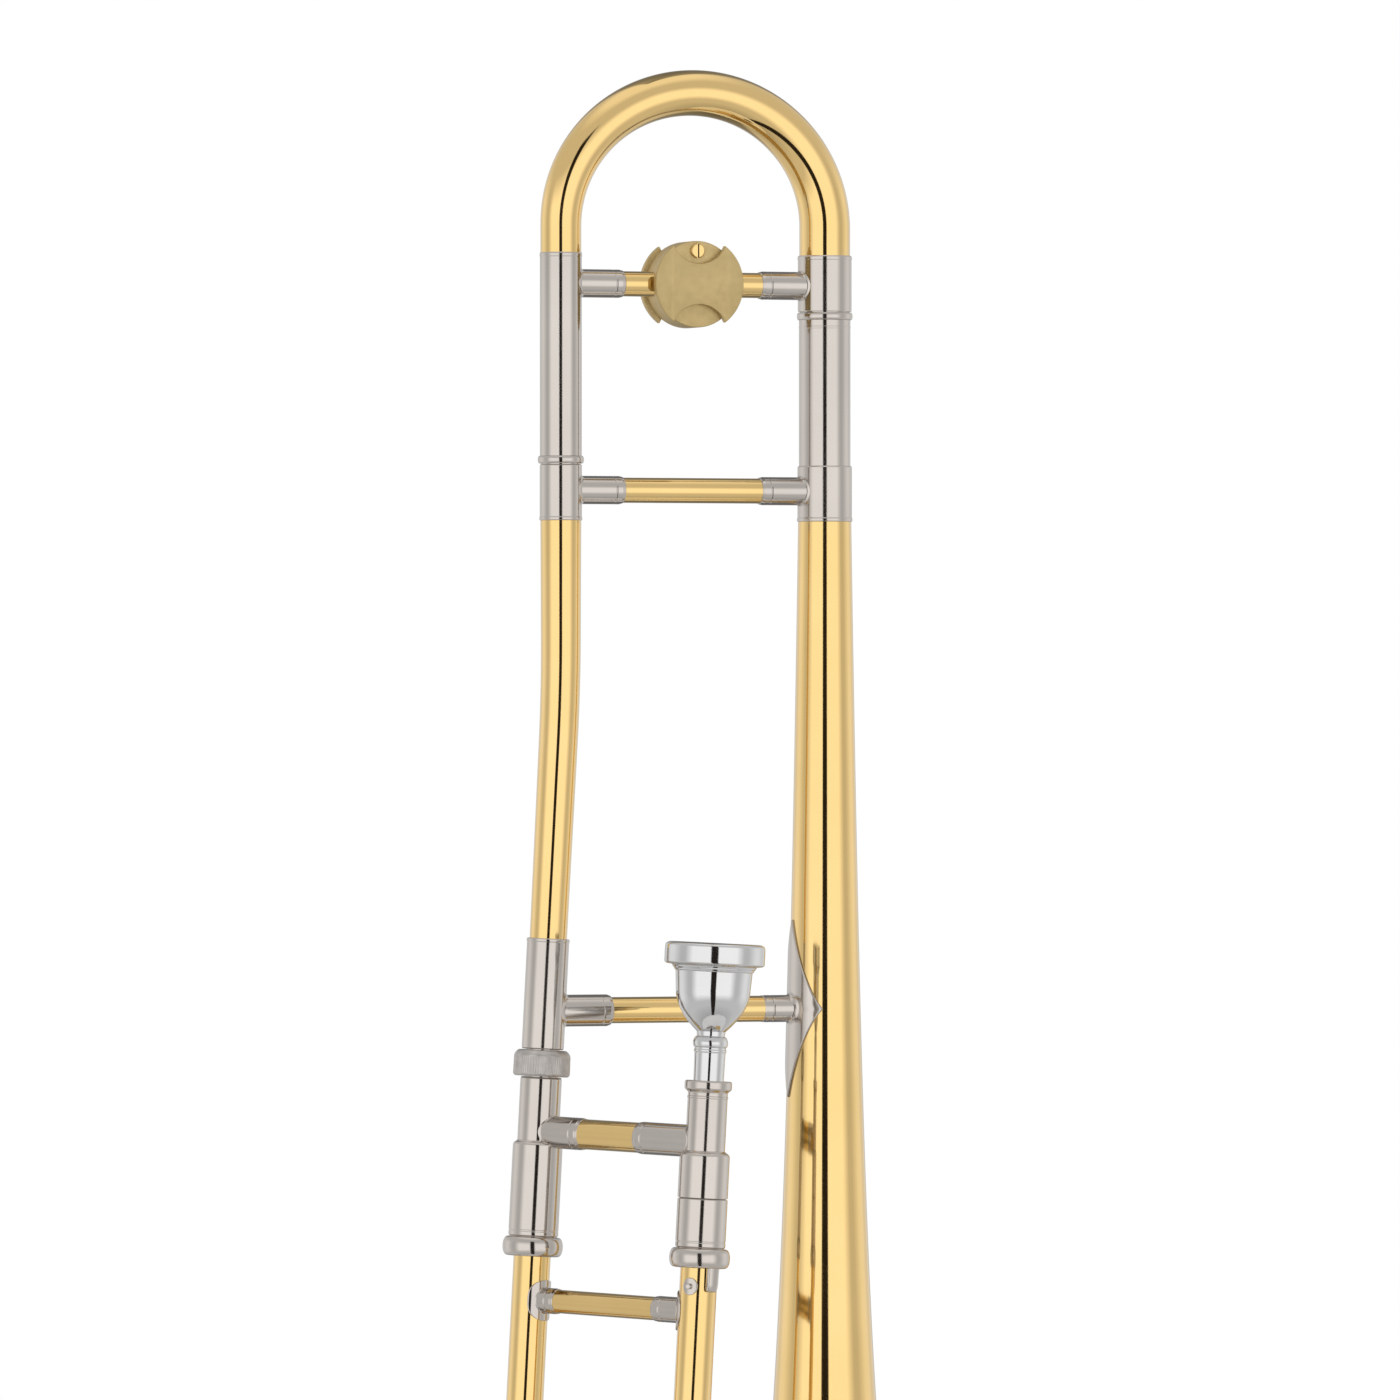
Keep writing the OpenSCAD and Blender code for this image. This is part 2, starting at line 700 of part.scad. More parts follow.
slide_lock_ring();
mouthpiece();
left_outer_tube();
right_outer_tube();
outer_brace_tube();
left_outer_saddle();
right_outer_saddle();
lock_lug();
left_crook_ferrule();
right_crook_ferrule();
crook();
bumper_cap();
bumper_rubber();
water_key_nipple();
water_key_bracket();
water_key_lever();
water_key_cork();
water_key_pin();
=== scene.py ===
import json
import math

import bmesh
import bpy
from mathutils import Matrix, Vector


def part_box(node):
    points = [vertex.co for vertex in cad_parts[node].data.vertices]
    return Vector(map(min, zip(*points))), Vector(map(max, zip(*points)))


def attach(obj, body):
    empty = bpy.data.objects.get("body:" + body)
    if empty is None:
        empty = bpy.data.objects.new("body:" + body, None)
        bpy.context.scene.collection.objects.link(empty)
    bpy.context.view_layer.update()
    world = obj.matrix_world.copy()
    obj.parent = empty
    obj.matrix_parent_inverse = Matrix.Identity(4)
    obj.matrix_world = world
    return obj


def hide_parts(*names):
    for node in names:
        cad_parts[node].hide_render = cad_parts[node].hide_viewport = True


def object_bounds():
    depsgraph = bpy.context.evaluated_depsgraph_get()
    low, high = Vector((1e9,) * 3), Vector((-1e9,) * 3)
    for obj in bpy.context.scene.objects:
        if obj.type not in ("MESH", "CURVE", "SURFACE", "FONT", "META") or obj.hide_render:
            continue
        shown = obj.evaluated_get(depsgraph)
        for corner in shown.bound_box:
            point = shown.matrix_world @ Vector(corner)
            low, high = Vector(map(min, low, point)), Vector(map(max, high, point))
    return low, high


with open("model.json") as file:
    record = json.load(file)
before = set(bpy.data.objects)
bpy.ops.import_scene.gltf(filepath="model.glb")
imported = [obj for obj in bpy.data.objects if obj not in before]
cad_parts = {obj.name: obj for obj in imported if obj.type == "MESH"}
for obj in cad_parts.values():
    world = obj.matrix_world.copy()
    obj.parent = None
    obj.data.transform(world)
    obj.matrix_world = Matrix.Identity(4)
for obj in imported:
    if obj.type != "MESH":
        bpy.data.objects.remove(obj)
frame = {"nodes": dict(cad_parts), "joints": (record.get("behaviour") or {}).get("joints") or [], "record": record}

cad_box = [list(corner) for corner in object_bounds()]

MM = 0.001
joints = {joint["name"]: joint for joint in frame["joints"]}


# ---------------------------------------------------------------- places, all read from the frame

def middle(node):
    low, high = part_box(node)
    return (low + high) / 2


def slide_axes():
    """The slide's own frame: origin at the lock nut's top, x across to the mouthpiece tube,
    z up the tubes. Also the distance between the tubes."""
    origin = Vector(joints["slide_swivel"]["pos_m"])
    up = Vector(joints["slide_swivel"]["axis"]).normalized()
    across = Vector(joints["slide_lock_turn"]["pos_m"]) - origin
    across -= up * across.dot(up)
    spacing = across.length
    across.normalize()
    matrix = Matrix((across, up.cross(across), up)).transposed().to_4x4()
    matrix.translation = origin
    return matrix, spacing


SLIDE, SPACING = slide_axes()
RIGHT = SLIDE @ Matrix.Translation((SPACING, 0, 0))
NECK_X = middle("neck_inner_leg").x
BELL_LEG = Matrix.Identity(4)
NECK_LEG = Matrix.Translation((NECK_X, 0, 0))
RIM_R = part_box("bell")[1].x
BELL_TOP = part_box("bell")[1].z
BELL_BRACE_Z = middle("bell_brace_tube").z
BOW_BRACE_Z = middle("bow_brace_tube").z
LOWER_BRACE_Z = middle("lower_brace_tube").z

# Stations down the slide, in metres below the lock nut's top
INNER_BRACE = 32.2 * MM
OUTER_BRACE = 98 * MM
TUBE_END = 700 * MM

# Outer radii of the round legs that braces and plates sit on, and of the braces' sockets
NECK_FERRULE_R = 8.25 * MM
BELL_FERRULE_R = 10.75 * MM
BOW_SLEEVE_R = 8.2 * MM
BOW_FERRULE_R = 10.6 * MM
COLLAR_R = 8.1 * MM
RECEIVER_R = 7.75 * MM
OUTER_R = 7.25 * MM
CROOK_R = SPACING / 2
LEFT_SOCKET_REACH, RIGHT_SOCKET_REACH = 25.5 * MM, 28.0 * MM


# ---------------------------------------------------------------- materials

def new_material(name):
    """A new material, its node tree and its shader."""
    material = bpy.data.materials.new(name)
    material.use_nodes = True
    tree = material.node_tree
    return material, tree, tree.nodes["Principled BSDF"]


def noise(tree, scale, detail=3.0, stretch=(1, 1, 1), rough=0.5):
    coords = tree.nodes.new("ShaderNodeTexCoord")
    mapping = tree.nodes.new("ShaderNodeMapping")
    mapping.inputs["Scale"].default_value = stretch
    texture = tree.nodes.new("ShaderNodeTexNoise")
    texture.inputs["Scale"].default_value = scale
    texture.inputs["Detail"].default_value = detail
    texture.inputs["Roughness"].default_value = rough
    tree.links.new(coords.outputs["Object"], mapping.inputs["Vector"])
    tree.links.new(mapping.outputs["Vector"], texture.inputs["Vector"])
    return texture.outputs["Fac"]


def ramp(tree, value, stops):
    """A colour ramp. Its stops are (place, colour or grey)."""
    node = tree.nodes.new("ShaderNodeValToRGB")
    elements = node.color_ramp.elements
    while len(elements) < len(stops):
        elements.new(0.5)
    for element, (place, tone) in zip(elements, stops):
        element.position = place
        colour = tone if isinstance(tone, tuple) else (tone, tone, tone)
        element.color = (*colour, 1)
    tree.links.new(value, node.inputs["Fac"])
    return node.outputs["Color"]


def bump(tree, shader, height, strength, distance):
    node = tree.nodes.new("ShaderNodeBump")
    node.inputs["Strength"].default_value = strength
    node.inputs["Distance"].default_value = distance
    tree.links.new(height, node.inputs["Height"])
    tree.links.new(node.outputs["Normal"], shader.inputs["Normal"])


def metal(name, dark, light, rough_low, rough_high, coat=0.0, patch_scale=22, bump_strength=0.003):
    """A polished metal: faint colour drift, smudges in the roughness, very faint drawn lines."""
    material, tree, shader = new_material(name)
    shader.inputs["Metallic"].default_value = 1.0
    shader.inputs["Coat Weight"].default_value = coat
    shader.inputs["Coat Roughness"].default_value = 0.04
    drift = noise(tree, patch_scale, 4)
    tree.links.new(ramp(tree, drift, [(0.3, dark), (0.7, light)]), shader.inputs["Base Color"])
    smudges = noise(tree, 60, 5, (1, 1, 0.5), 0.6)
    tree.links.new(ramp(tree, smudges, [(0.35, rough_low), (0.75, rough_high)]), shader.inputs["Roughness"])
    drawn = noise(tree, 900, 2, (1, 1, 0.12))
    bump(tree, shader, drawn, bump_strength, 0.2 * MM)
    return material


def matte_brass():
    material, tree, shader = new_material("matte_brass")
    shader.inputs["Metallic"].default_value = 0.85
    shader.inputs["Coat Weight"].default_value = 0.15
    shader.inputs["Coat Roughness"].default_value = 0.3
    tone = ramp(tree, noise(tree, 70, 5), [(0.3, (0.52, 0.39, 0.175)), (0.7, (0.575, 0.435, 0.205))])
    tree.links.new(tone, shader.inputs["Base Color"])
    tree.links.new(ramp(tree, noise(tree, 300, 4), [(0.3, 0.42), (0.7, 0.56)]), shader.inputs["Roughness"])
    bump(tree, shader, noise(tree, 2600, 3), 0.25, 0.2 * MM)
    return material


def cork():
    material, tree, shader = new_material("cork")
    grains = ramp(tree, noise(tree, 900, 6, rough=0.75),
                  [(0.36, (0.16, 0.08, 0.035)), (0.5, (0.46, 0.28, 0.14)), (0.75, (0.6, 0.4, 0.22))])
    tree.links.new(grains, shader.inputs["Base Color"])
    shader.inputs["Roughness"].default_value = 0.85
    bump(tree, shader, noise(tree, 1400, 5), 0.5, 0.4 * MM)
    return material


def rubber():
    material, tree, shader = new_material("rubber")
    tone = ramp(tree, noise(tree, 200, 4), [(0.3, 0.012), (0.7, 0.03)])
    tree.links.new(tone, shader.inputs["Base Color"])
    tree.links.new(ramp(tree, noise(tree, 500, 3), [(0.3, 0.55), (0.7, 0.75)]), shader.inputs["Roughness"])
    bump(tree, shader, noise(tree, 1800, 3), 0.3, 0.3 * MM)
    return material


# satin_nickel is the finish of the knurled nut. Every other name is a material slot of the frame.
MATERIALS = {
    "lacquered_brass": metal("lacquered_brass", (0.755, 0.53, 0.205), (0.805, 0.565, 0.235),
                             0.05, 0.10, coat=0.5),
    "nickel_silver": metal("nickel_silver", (0.51, 0.47, 0.435), (0.55, 0.508, 0.468), 0.09, 0.14),
    "satin_nickel": metal("satin_nickel", (0.42, 0.395, 0.375), (0.53, 0.50, 0.475),
                          0.34, 0.44, patch_scale=400, bump_strength=0.3),
    "bright_plate": metal("bright_plate", (0.59, 0.588, 0.585), (0.635, 0.632, 0.63), 0.06, 0.10),
    "steel": metal("steel", (0.45, 0.45, 0.46), (0.55, 0.55, 0.56), 0.18, 0.28),
    "matte_brass": matte_brass(),
    "cork": cork(),
    "rubber": rubber(),
}


# ---------------------------------------------------------------- mesh helpers

def finish_piece(name, mesh, body, slot, replaces=(), matrix=None, smooth_angle=35):
    """Puts a mesh in its place as a shown piece that rides a body, with smooth shading."""
    if matrix is not None:
        mesh.transform(matrix)
    edit = bmesh.new()
    edit.from_mesh(mesh)
    bmesh.ops.remove_doubles(edit, verts=edit.verts, dist=1e-7)
    bmesh.ops.recalc_face_normals(edit, faces=edit.faces)
    edit.to_mesh(mesh)
    edit.free()
    mesh.polygons.foreach_set("use_smooth", [True] * len(mesh.polygons))
    mesh.set_sharp_from_angle(angle=math.radians(smooth_angle))
    piece = bpy.data.objects.new(name, mesh)
    bpy.context.scene.collection.objects.link(piece)
    piece.data.materials.append(MATERIALS[slot])
    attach(piece, body)
    if replaces:
        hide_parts(*replaces)
    return piece


def mesh_from(name, verts, faces):
    mesh = bpy.data.meshes.new(name)
    mesh.from_pydata([tuple(v) for v in verts], [], faces)
    mesh.update()
    return mesh


def ring_faces(rings, sides):
    """Quads that join each ring of points to the next. All rings have the same number of points."""
    faces = []
    for i in range(rings - 1):
        for j in range(sides):
            k = (j + 1) % sides
            faces.append([i * sides + j, i * sides + k, (i + 1) * sides + k, (i + 1) * sides + j])
    return faces


def soften(points, radius, closed=True, steps=4):
    """Rounds the corners of an outline. Each point is (r, z) or (r, z, own radius)."""
    out = []
    count = len(points)
    for i, point in enumerate(points):
        here = Vector(point[:2])
        own = point[2] if len(point) > 2 else radius
        if not closed and i in (0, count - 1) or own <= 0:
            out.append(here)
            continue
        before = Vector(points[i - 1][:2]) - here
        after = Vector(points[(i + 1) % count][:2]) - here
        reach = min(own, before.length * 0.48, after.length * 0.48)
        angle = before.angle(after, math.pi)
        if reach < 1e-6 or angle > math.radians(176):
            out.append(here)
            continue
        start, end = here + before.normalized() * reach, here + after.normalized() * reach
        for k in range(steps + 1):
            t = k / steps
            out.append(start * (1 - t) ** 2 + here * (2 * t * (1 - t)) + end * t ** 2)
    return out


def supported(points, closed=True, near=0.07 * MM):
    """Adds a point close to each end of every long straight stretch, so that shading stays flat on it."""
    out = []
    count = len(points)
    for i, here in enumerate(points):
        out.append(here)
        if i == count - 1 and not closed:
            break
        here, there = Vector(here), Vector(points[(i + 1) % count])
        span = there - here
        if span.length > 6 * near:
            step = span.normalized() * near
            out += [here + step, there - step]
    return out


def lathe(name, outline, sides=96, closed=True):
    """Turns an outline of (r, z) points round the Z axis. Points on the axis close the shape."""
    verts, rings, faces = [], [], []
    for r, z in outline:
        if r < 1e-7:
            rings.append([len(verts)] * sides)
            verts.append((0, 0, z))
            continue
        rings.append([len(verts) + j for j in range(sides)])
        verts += [(r * math.cos(math.tau * j / sides), r * math.sin(math.tau * j / sides), z)
                  for j in range(sides)]
    pairs = list(zip(rings, rings[1:] + rings[:1])) if closed else list(zip(rings, rings[1:]))
    for a, b in pairs:
        for j in range(sides):
            k = (j + 1) % sides
            corner = [a[j], a[k], b[k], b[j]]
            corner = [v for n, v in enumerate(corner) if v not in corner[:n]]
            if len(corner) > 2:
                faces.append(corner)
    return mesh_from(name, verts, faces)


def turned(name, outline, body, slot, matrix, replaces=(), radius=0.3 * MM, sides=96, closed=True):
    """A shown piece turned on a lathe, its corners softened by radius or by their own values."""
    outline = supported(soften(outline, radius, closed), closed)
    return finish_piece(name, lathe(name, outline, sides, closed), body, slot, replaces, matrix)


def swept(name, stations, sides, wall):
    """A hollow tube along stations of (centre, normal, radius), in the XZ plane."""
    verts, faces = [], []
    for inset in (0, wall):
        for centre, normal, radius in stations:
            for j in range(sides):
                a = math.tau * j / sides
                offset = normal * math.cos(a) + Vector((0, 1, 0)) * math.sin(a)
                verts.append(centre + offset * (radius - inset))
    count, inner = len(stations), len(stations) * sides
    for quad in ring_faces(count, sides):
        faces += [quad, [inner + v for v in reversed(quad)]]
    for i in (0, count - 1):
        for j in range(sides):
            k = (j + 1) % sides
            faces.append([i * sides + j, i * sides + k, inner + i * sides + k, inner + i * sides + j])
    return mesh_from(name, verts, faces)


def branch(name, body, slot, leg_matrix, direction, height, radius, leg_radius, reach, tip_radius,
           tube_radius, replaces, fillet=0.9 * MM, lean=0.0, sides=72, surface=None):
    """A brace socket. It grows out of a round leg with a solder fillet, runs straight, has a fine
    groove, and ends in a small turned lip round the brace's tube. reach is from the leg's axis."""
    if surface is None:
        def surface(y, z):
            return math.sqrt(max(leg_radius ** 2 - y * y, 0)) / math.cos(lean) + z * math.tan(lean)
    support, sunk, groove, lip = 0.07 * MM, 0.12 * MM, 0.14 * MM, 1.1 * MM
    fillet_steps = 6
    rings = []
    for k in range(fillet_steps + 1):
        turn = math.radians(90 * k / fillet_steps)
        rings.append(("near", fillet * (1 - math.cos(turn)) - sunk * (k == 0),
                      radius + fillet * (1 - math.sin(turn))))
    rings.append(("near", fillet + support, radius))
    rings.append(("far", reach - 4.2 * MM - support, radius))
    end = [(4.2 * MM, radius), (4.0 * MM, radius - groove), (3.7 * MM, radius - groove), (3.5 * MM, radius),
           (lip + 0.25 * MM, radius), (lip, radius - 0.1 * MM), (0.22 * MM, tip_radius),
           (0, tip_radius - 0.2 * MM), (0.02 * MM, tube_radius)]
    end = supported([(reach - back, r) for back, r in end], closed=False)
    rings += [("far", along, r) for along, r in end]
    verts = []
    for kind, along, r in rings:
        for j in range(sides):
            a = math.tau * j / sides
            y, z = r * math.cos(a), r * math.sin(a)
            x = surface(y, z) + along if kind == "near" else along
            verts.append((x * direction, y, z + height))
    mesh = mesh_from(name, verts, ring_faces(len(rings), sides))
    return finish_piece(name, mesh, body, slot, replaces, leg_matrix)


def patch(name, body, slot, matrix, radius_at, half_angle_at, low, high, thick, centre, replaces=(),
          rows=40, columns=40, edge=0.35 * MM):
    """A thin plate wrapped round a leg, with softened edges. half_angle_at gives its half width
    as an angle, for a height of -1 to 1."""
    def lift(u, w, half_angle, radius):
        from_side = (1 - abs(u)) * half_angle * radius
        from_end = (1 - abs(w)) * (high - low) / 2
        near = min(1, max(0, min(from_side, from_end)) / edge)
        return thick * (0.35 + 0.65 * math.sqrt(1 - (1 - near) ** 2))

    def spread(t):
        return math.copysign(1 - (1 - abs(t)) ** 1.8, t)

    verts, faces = [], []
    for layer in (0, 1):
        for i in range(rows + 1):
            w = spread(2 * i / rows - 1)
            z = (low + high) / 2 + w * (high - low) / 2
            radius, half_angle = radius_at(z), max(half_angle_at(w), 1e-4)
            for j in range(columns + 1):
                u = spread(2 * j / columns - 1)
                r = radius + (lift(u, w, half_angle, radius) if layer == 0 else -0.05 * MM)
                a = centre + u * half_angle
                verts.append((r * math.cos(a), r * math.sin(a), z))
    wide, layer_size = columns + 1, (rows + 1) * (columns + 1)
    for i in range(rows):
        for j in range(columns):
            a, b = i * wide + j, i * wide + j + 1
            quad = [a, b, b + wide, a + wide]
            faces += [quad, [layer_size + v for v in reversed(quad)]]
    rim = (list(range(wide)) + [i * wide + columns for i in range(1, rows + 1)]
           + [rows * wide + j for j in range(columns - 1, -1, -1)]
           + [i * wide for i in range(rows - 1, 0, -1)])
    for a, b in zip(rim, rim[1:] + rim[:1]):
        faces.append([a, b, layer_size + b, layer_size + a])
    return finish_piece(name, mesh_from(name, verts, faces), body, slot, replaces, matrix, smooth_angle=50)


def mm(points):
    """Outline points given in millimetres."""
    return [tuple(value * MM for value in point) for point in points]


def down(points):
    """Outline points given as (radius, station down the slide), in millimetres."""
    return [(p[0] * MM, -p[1] * MM, *(v * MM for v in p[2:])) for p in points]


def half_torus(r_base, r_out, low, high, steps=14):
    """The outer line of a rounded bead between two heights."""
    middle_z, half = (low + high) / 2, (high - low) / 2
    return [(r_base + (r_out - r_base) * math.cos(t) ** 0.75, middle_z + half * math.sin(t))
            for t in (math.radians(-90 + 180 * k / steps) for k in range(steps + 1))]


# ---------------------------------------------------------------- bell section

BELL_WALL = 0.8 * MM
RIM_WIRE_R = 1.6 * MM
FLARE_C, FLARE_POWER = 13.6 * MM, 0.6
STEM_R = 10.5 * MM


def bell_r(z):
    """The bell's outer radius: a power law at the flare, corrected to meet the stem's radius."""
    opening = RIM_R * ((z + FLARE_C) / FLARE_C) ** -FLARE_POWER
    at_top = RIM_R * ((BELL_TOP + FLARE_C) / FLARE_C) ** -FLARE_POWER
    return opening + (STEM_R - at_top) * (z / BELL_TOP) ** 3


def bell():
    """The spun bell, with its edge rolled round the rim wire."""
    steps = 130
    heights = [BELL_TOP * (i / steps) ** 2.3 for i in range(steps + 1)]
    outside = [Vector((bell_r(z), z)) for z in heights]
    inside = []
    for i, here in enumerate(outside):
        slope = outside[min(i + 1, steps)] - outside[max(i - 1, 0)]
        inside.append(here + Vector((slope.y, -slope.x)).normalized() * -BELL_WALL)
    wire = Vector((RIM_R - 0.45 * MM, 1.0 * MM))
    roll = [wire + RIM_WIRE_R * Vector((math.cos(t), math.sin(t)))
            for t in (math.radians(-105 + 255 * k / 22) for k in range(23))]
    clear = [p for p in outside if p.x < roll[-1].x - 0.4 * MM]
    inner_clear = [p for p in inside if p.x < roll[0].x - 0.6 * MM]
    outline = list(reversed(inner_clear)) + roll + clear
    mesh = lathe("bell_flare", outline, sides=160)
    finish_piece("bell_flare", mesh, "bell_section", "lacquered_brass", ("bell", "bell_rim_wire"),
                 smooth_angle=60)


def swept_piece(name, body, slot, node, stations, wall, matrix=None, sides=64):
    finish_piece(name, swept(name, stations, sides, wall), body, slot, (node,), matrix, smooth_angle=60)


# How far the slide leans away from the bell
LEAN = math.atan2(SLIDE.col[2].x, SLIDE.col[2].z)

# The neck bends between these heights, and the slide's axis meets the neck leg's at their middle
BEND_TOP, BEND_LOW = 480 * MM, 438 * MM


def neck():
    """The neckpipe: straight, a gentle bend away from the bell, straight again on the slide's axis."""
    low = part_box("neckpipe")[0].z
    top = BELL_TOP
    bend_radius = (BEND_TOP - BEND_LOW) / math.sin(LEAN)

    def radius(z):
        return (7.3 + 0.7 * (z - low) / (top - low)) * MM

    def station(x, z, lean):
        return Vector((x, 0, z)), Vector((math.cos(lean), 0, -math.sin(lean))), radius(z)

    stations = [station(NECK_X, top - (top - BEND_TOP) * k / 8, 0) for k in range(8)]
    steps = 24
    for k in range(steps + 1):
        a = LEAN * k / steps
        x, z = NECK_X - bend_radius * (1 - math.cos(a)), BEND_TOP - bend_radius * math.sin(a)
        stations.append(station(x, z, a))
    end, _, _ = stations[-1]
    for k in range(1, 9):
        z = end.z + (low - end.z) * k / 8
        stations.append(station(end.x - (end.z - z) * math.tan(LEAN), z, LEAN))
    swept_piece("neckpipe_tube", "bell_section", "lacquered_brass", "neckpipe", stations, 0.6 * MM)


def bell_section():
    body = "bell_section"
    bell()
    neck()
    turned("bell_ferrule_turned", mm([
        (9.7, 526), (10.6, 526, 0.2), (10.95, 526.25, 0.2), (10.95, 527.3, 0.2), (10.75, 527.6, 0.1),
        (10.75, 547.6, 0.3), (10.4, 548, 0.1), (9.7, 548)]),
        body, "nickel_silver", BELL_LEG, ("bell_ferrule",))
    turned("bell_sleeve_turned", mm([
        (9.7, 548), (10.15, 548, 0.05), (10.15, 602.2, 0.05), (10.22, 602.4, 0.05), (10.22, 603, 0.05),
        (10.15, 603.2, 0.05), (10.15, 605.6, 0.05), (9.7, 605.6)]),
        body, "nickel_silver", BELL_LEG, ("bell_sleeve",))
    turned("bell_sleeve_bead", mm([(9.7, 605.6), (9.7, 608.6)])[::-1]
           + half_torus(10.2 * MM, 11.0 * MM, 605.6 * MM, 608.6 * MM), body, "nickel_silver", BELL_LEG,
           ("bell_sleeve_ring",), radius=0)
    turned("neck_upper_ferrule_turned", mm([
        (7.4, 526), (8.1, 526, 0.2), (8.42, 526.25, 0.2), (8.42, 527.2, 0.2), (8.25, 527.5, 0.1),
        (8.25, 547.6, 0.3), (7.95, 548, 0.1), (7.4, 548)]),
        body, "nickel_silver", NECK_LEG, ("neck_upper_ferrule",))
    start = station_of_top("neck_lower_ferrule")
    turned("neck_lower_ferrule_turned", down([
        (6.75, start), (8.05, start, 0.2), (8.42, start + 0.3, 0.2), (8.42, start + 1.2, 0.2),
        (8.25, start + 1.5, 0.1), (8.25, -0.4, 0.3), (7.9, 0, 0.1), (6.75, 0)]),
        body, "nickel_silver", SLIDE, ("neck_lower_ferrule",))
    leg_sockets(body, BELL_BRACE_Z,
                ("bell_brace_neck_socket", NECK_LEG, 1, NECK_FERRULE_R, LEFT_SOCKET_REACH),
                ("bell_brace_bell_socket", BELL_LEG, -1, BELL_FERRULE_R, RIGHT_SOCKET_REACH))
    foot_x = NECK_X - ((BEND_TOP + BEND_LOW) / 2 - LOWER_BRACE_Z) * math.tan(LEAN)
    branch("lower_brace_neck_socket_turned", body, "nickel_silver", Matrix.Translation((foot_x, 0, 0)), 1,
           LOWER_BRACE_Z, 6.25 * MM, NECK_FERRULE_R, 27 * MM, 5.9 * MM, 5.15 * MM,
           ("lower_brace_neck_socket",), lean=LEAN)
    flange()


def leg_sockets(body, height, *sockets):
    """The two alike sockets of a brace between the neck leg and the bell leg."""
    for node, leg, direction, radius, reach in sockets:
        branch(node + "_turned", body, "nickel_silver", leg, direction, height, 5.55 * MM, radius,
               reach, 5.3 * MM, 4.95 * MM, (node,))


def station_of_top(node):
    """The top of a node on the slide's axis, in mm down the slide. It is negative above the nut."""
    top = SLIDE.inverted() @ Vector((SLIDE.translation.x, 0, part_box(node)[1].z))
    return -round(top.z / MM, 1)


def flange():
    """The diamond plate on the bell stem, and the spigot that the lower brace is soldered into."""
    half_h, plate = 35 * MM, 0.9 * MM
    widest = math.radians(66)

    def half_angle(w):
        reach = math.sin(widest) * (1 - abs(w))
        z = LOWER_BRACE_Z + w * half_h
        return math.asin(min(0.999, reach * bell_r(LOWER_BRACE_Z) / bell_r(z)))

    patch("bell_flange_plate", "bell_section", "nickel_silver", BELL_LEG, bell_r, half_angle,
          LOWER_BRACE_Z - half_h, LOWER_BRACE_Z + half_h, plate, math.pi, ("bell_flange",), rows=64)

    def surface(y, z):
        return math.sqrt(max((bell_r(LOWER_BRACE_Z + z) + plate) ** 2 - y * y, 0))

    branch("bell_flange_spigot", "bell_section", "nickel_silver", BELL_LEG, -1, LOWER_BRACE_Z, 5.35 * MM,
           0, 27 * MM, 5.3 * MM, 5.15 * MM, (), fillet=1.6 * MM, surface=surface)


def lock_nut():
    """A fine knurl between two smooth edges, with a rounded top."""
    outline = supported(soften(down([(6.85, 0.3), (9.4, 0.3, 0.6), (11.05, 2.0, 1.4), (11.15, 9.9, 0.5),
                                     (10.4, 10.6, 0.3), (6.85, 10.6)]), 0.3 * MM, steps=7))
    points_per_rib, ribs, depth = 6, 72, 0.014
    band_r, band_low, band_high = 10.9 * MM, -9.6 * MM, -2.6 * MM
    mesh = lathe("lock_nut_knurled", outline, ribs * points_per_rib)
    for vert in mesh.vertices:
        if math.hypot(vert.co.x, vert.co.y) > band_r and band_low < vert.co.z < band_high:
            turn = math.atan2(vert.co.y, vert.co.x)
            scale = 1 - depth * (0.5 + 0.5 * math.cos(ribs * turn))
            vert.co.x *= scale
            vert.co.y *= scale
    piece = finish_piece("lock_nut_knurled", mesh, "lock_nut", "nickel_silver", ("lock_nut",), SLIDE, 30)
    piece.data.materials[0] = MATERIALS["satin_nickel"]


# ---------------------------------------------------------------- tuning slide

def bow():
    """The half-elliptic bow. Its tube widens from the neck side to the bell side."""
    half_w = -NECK_X / 2
    spring_z, start_z = 641.9 * MM, 631 * MM
    height = 52.5 * MM

    def station(x, z, a):
        normal = Vector((-height * math.cos(a), 0, half_w * math.sin(a))).normalized()
        return Vector((x, 0, z)), normal, (8 + 2 * a / math.pi) * MM

    steps = 96
    stations = [station(NECK_X, start_z + (spring_z - start_z) * k / 3, 0) for k in range(3)]
    for k in range(steps + 1):
        a = math.pi * k / steps
        stations.append(station(-half_w - half_w * math.cos(a), spring_z + height * math.sin(a), a))
    stations += [station(0, spring_z - (spring_z - start_z) * k / 3, math.pi) for k in range(1, 4)]
    swept_piece("tuning_bow_tube", "tuning_slide", "lacquered_brass", "tuning_bow", stations, 0.8 * MM)


def scooped_disc():
    """The outline of a round plate with a circular bite at the top and at the bottom."""
    plate_r, bite_r, bite_z = 18.5 * MM, 11.8 * MM, 19.8 * MM
    tip_z = (plate_r ** 2 - bite_r ** 2 + bite_z ** 2) / (2 * bite_z)
    tip_x = math.sqrt(plate_r ** 2 - tip_z ** 2)
    tip_angle = math.atan2(tip_z, tip_x)
    bite_half = math.atan2(tip_x, bite_z - tip_z)

    points = [Vector((plate_r * math.cos(t), plate_r * math.sin(t)))
              for t in (tip_angle * (-1 + k / 20) for k in range(41))]
    points += [Vector((bite_r * math.sin(t), bite_z - bite_r * math.cos(t)))
               for t in (bite_half * (1 - k / 14) for k in range(1, 28))]
    return points + [-p for p in points]


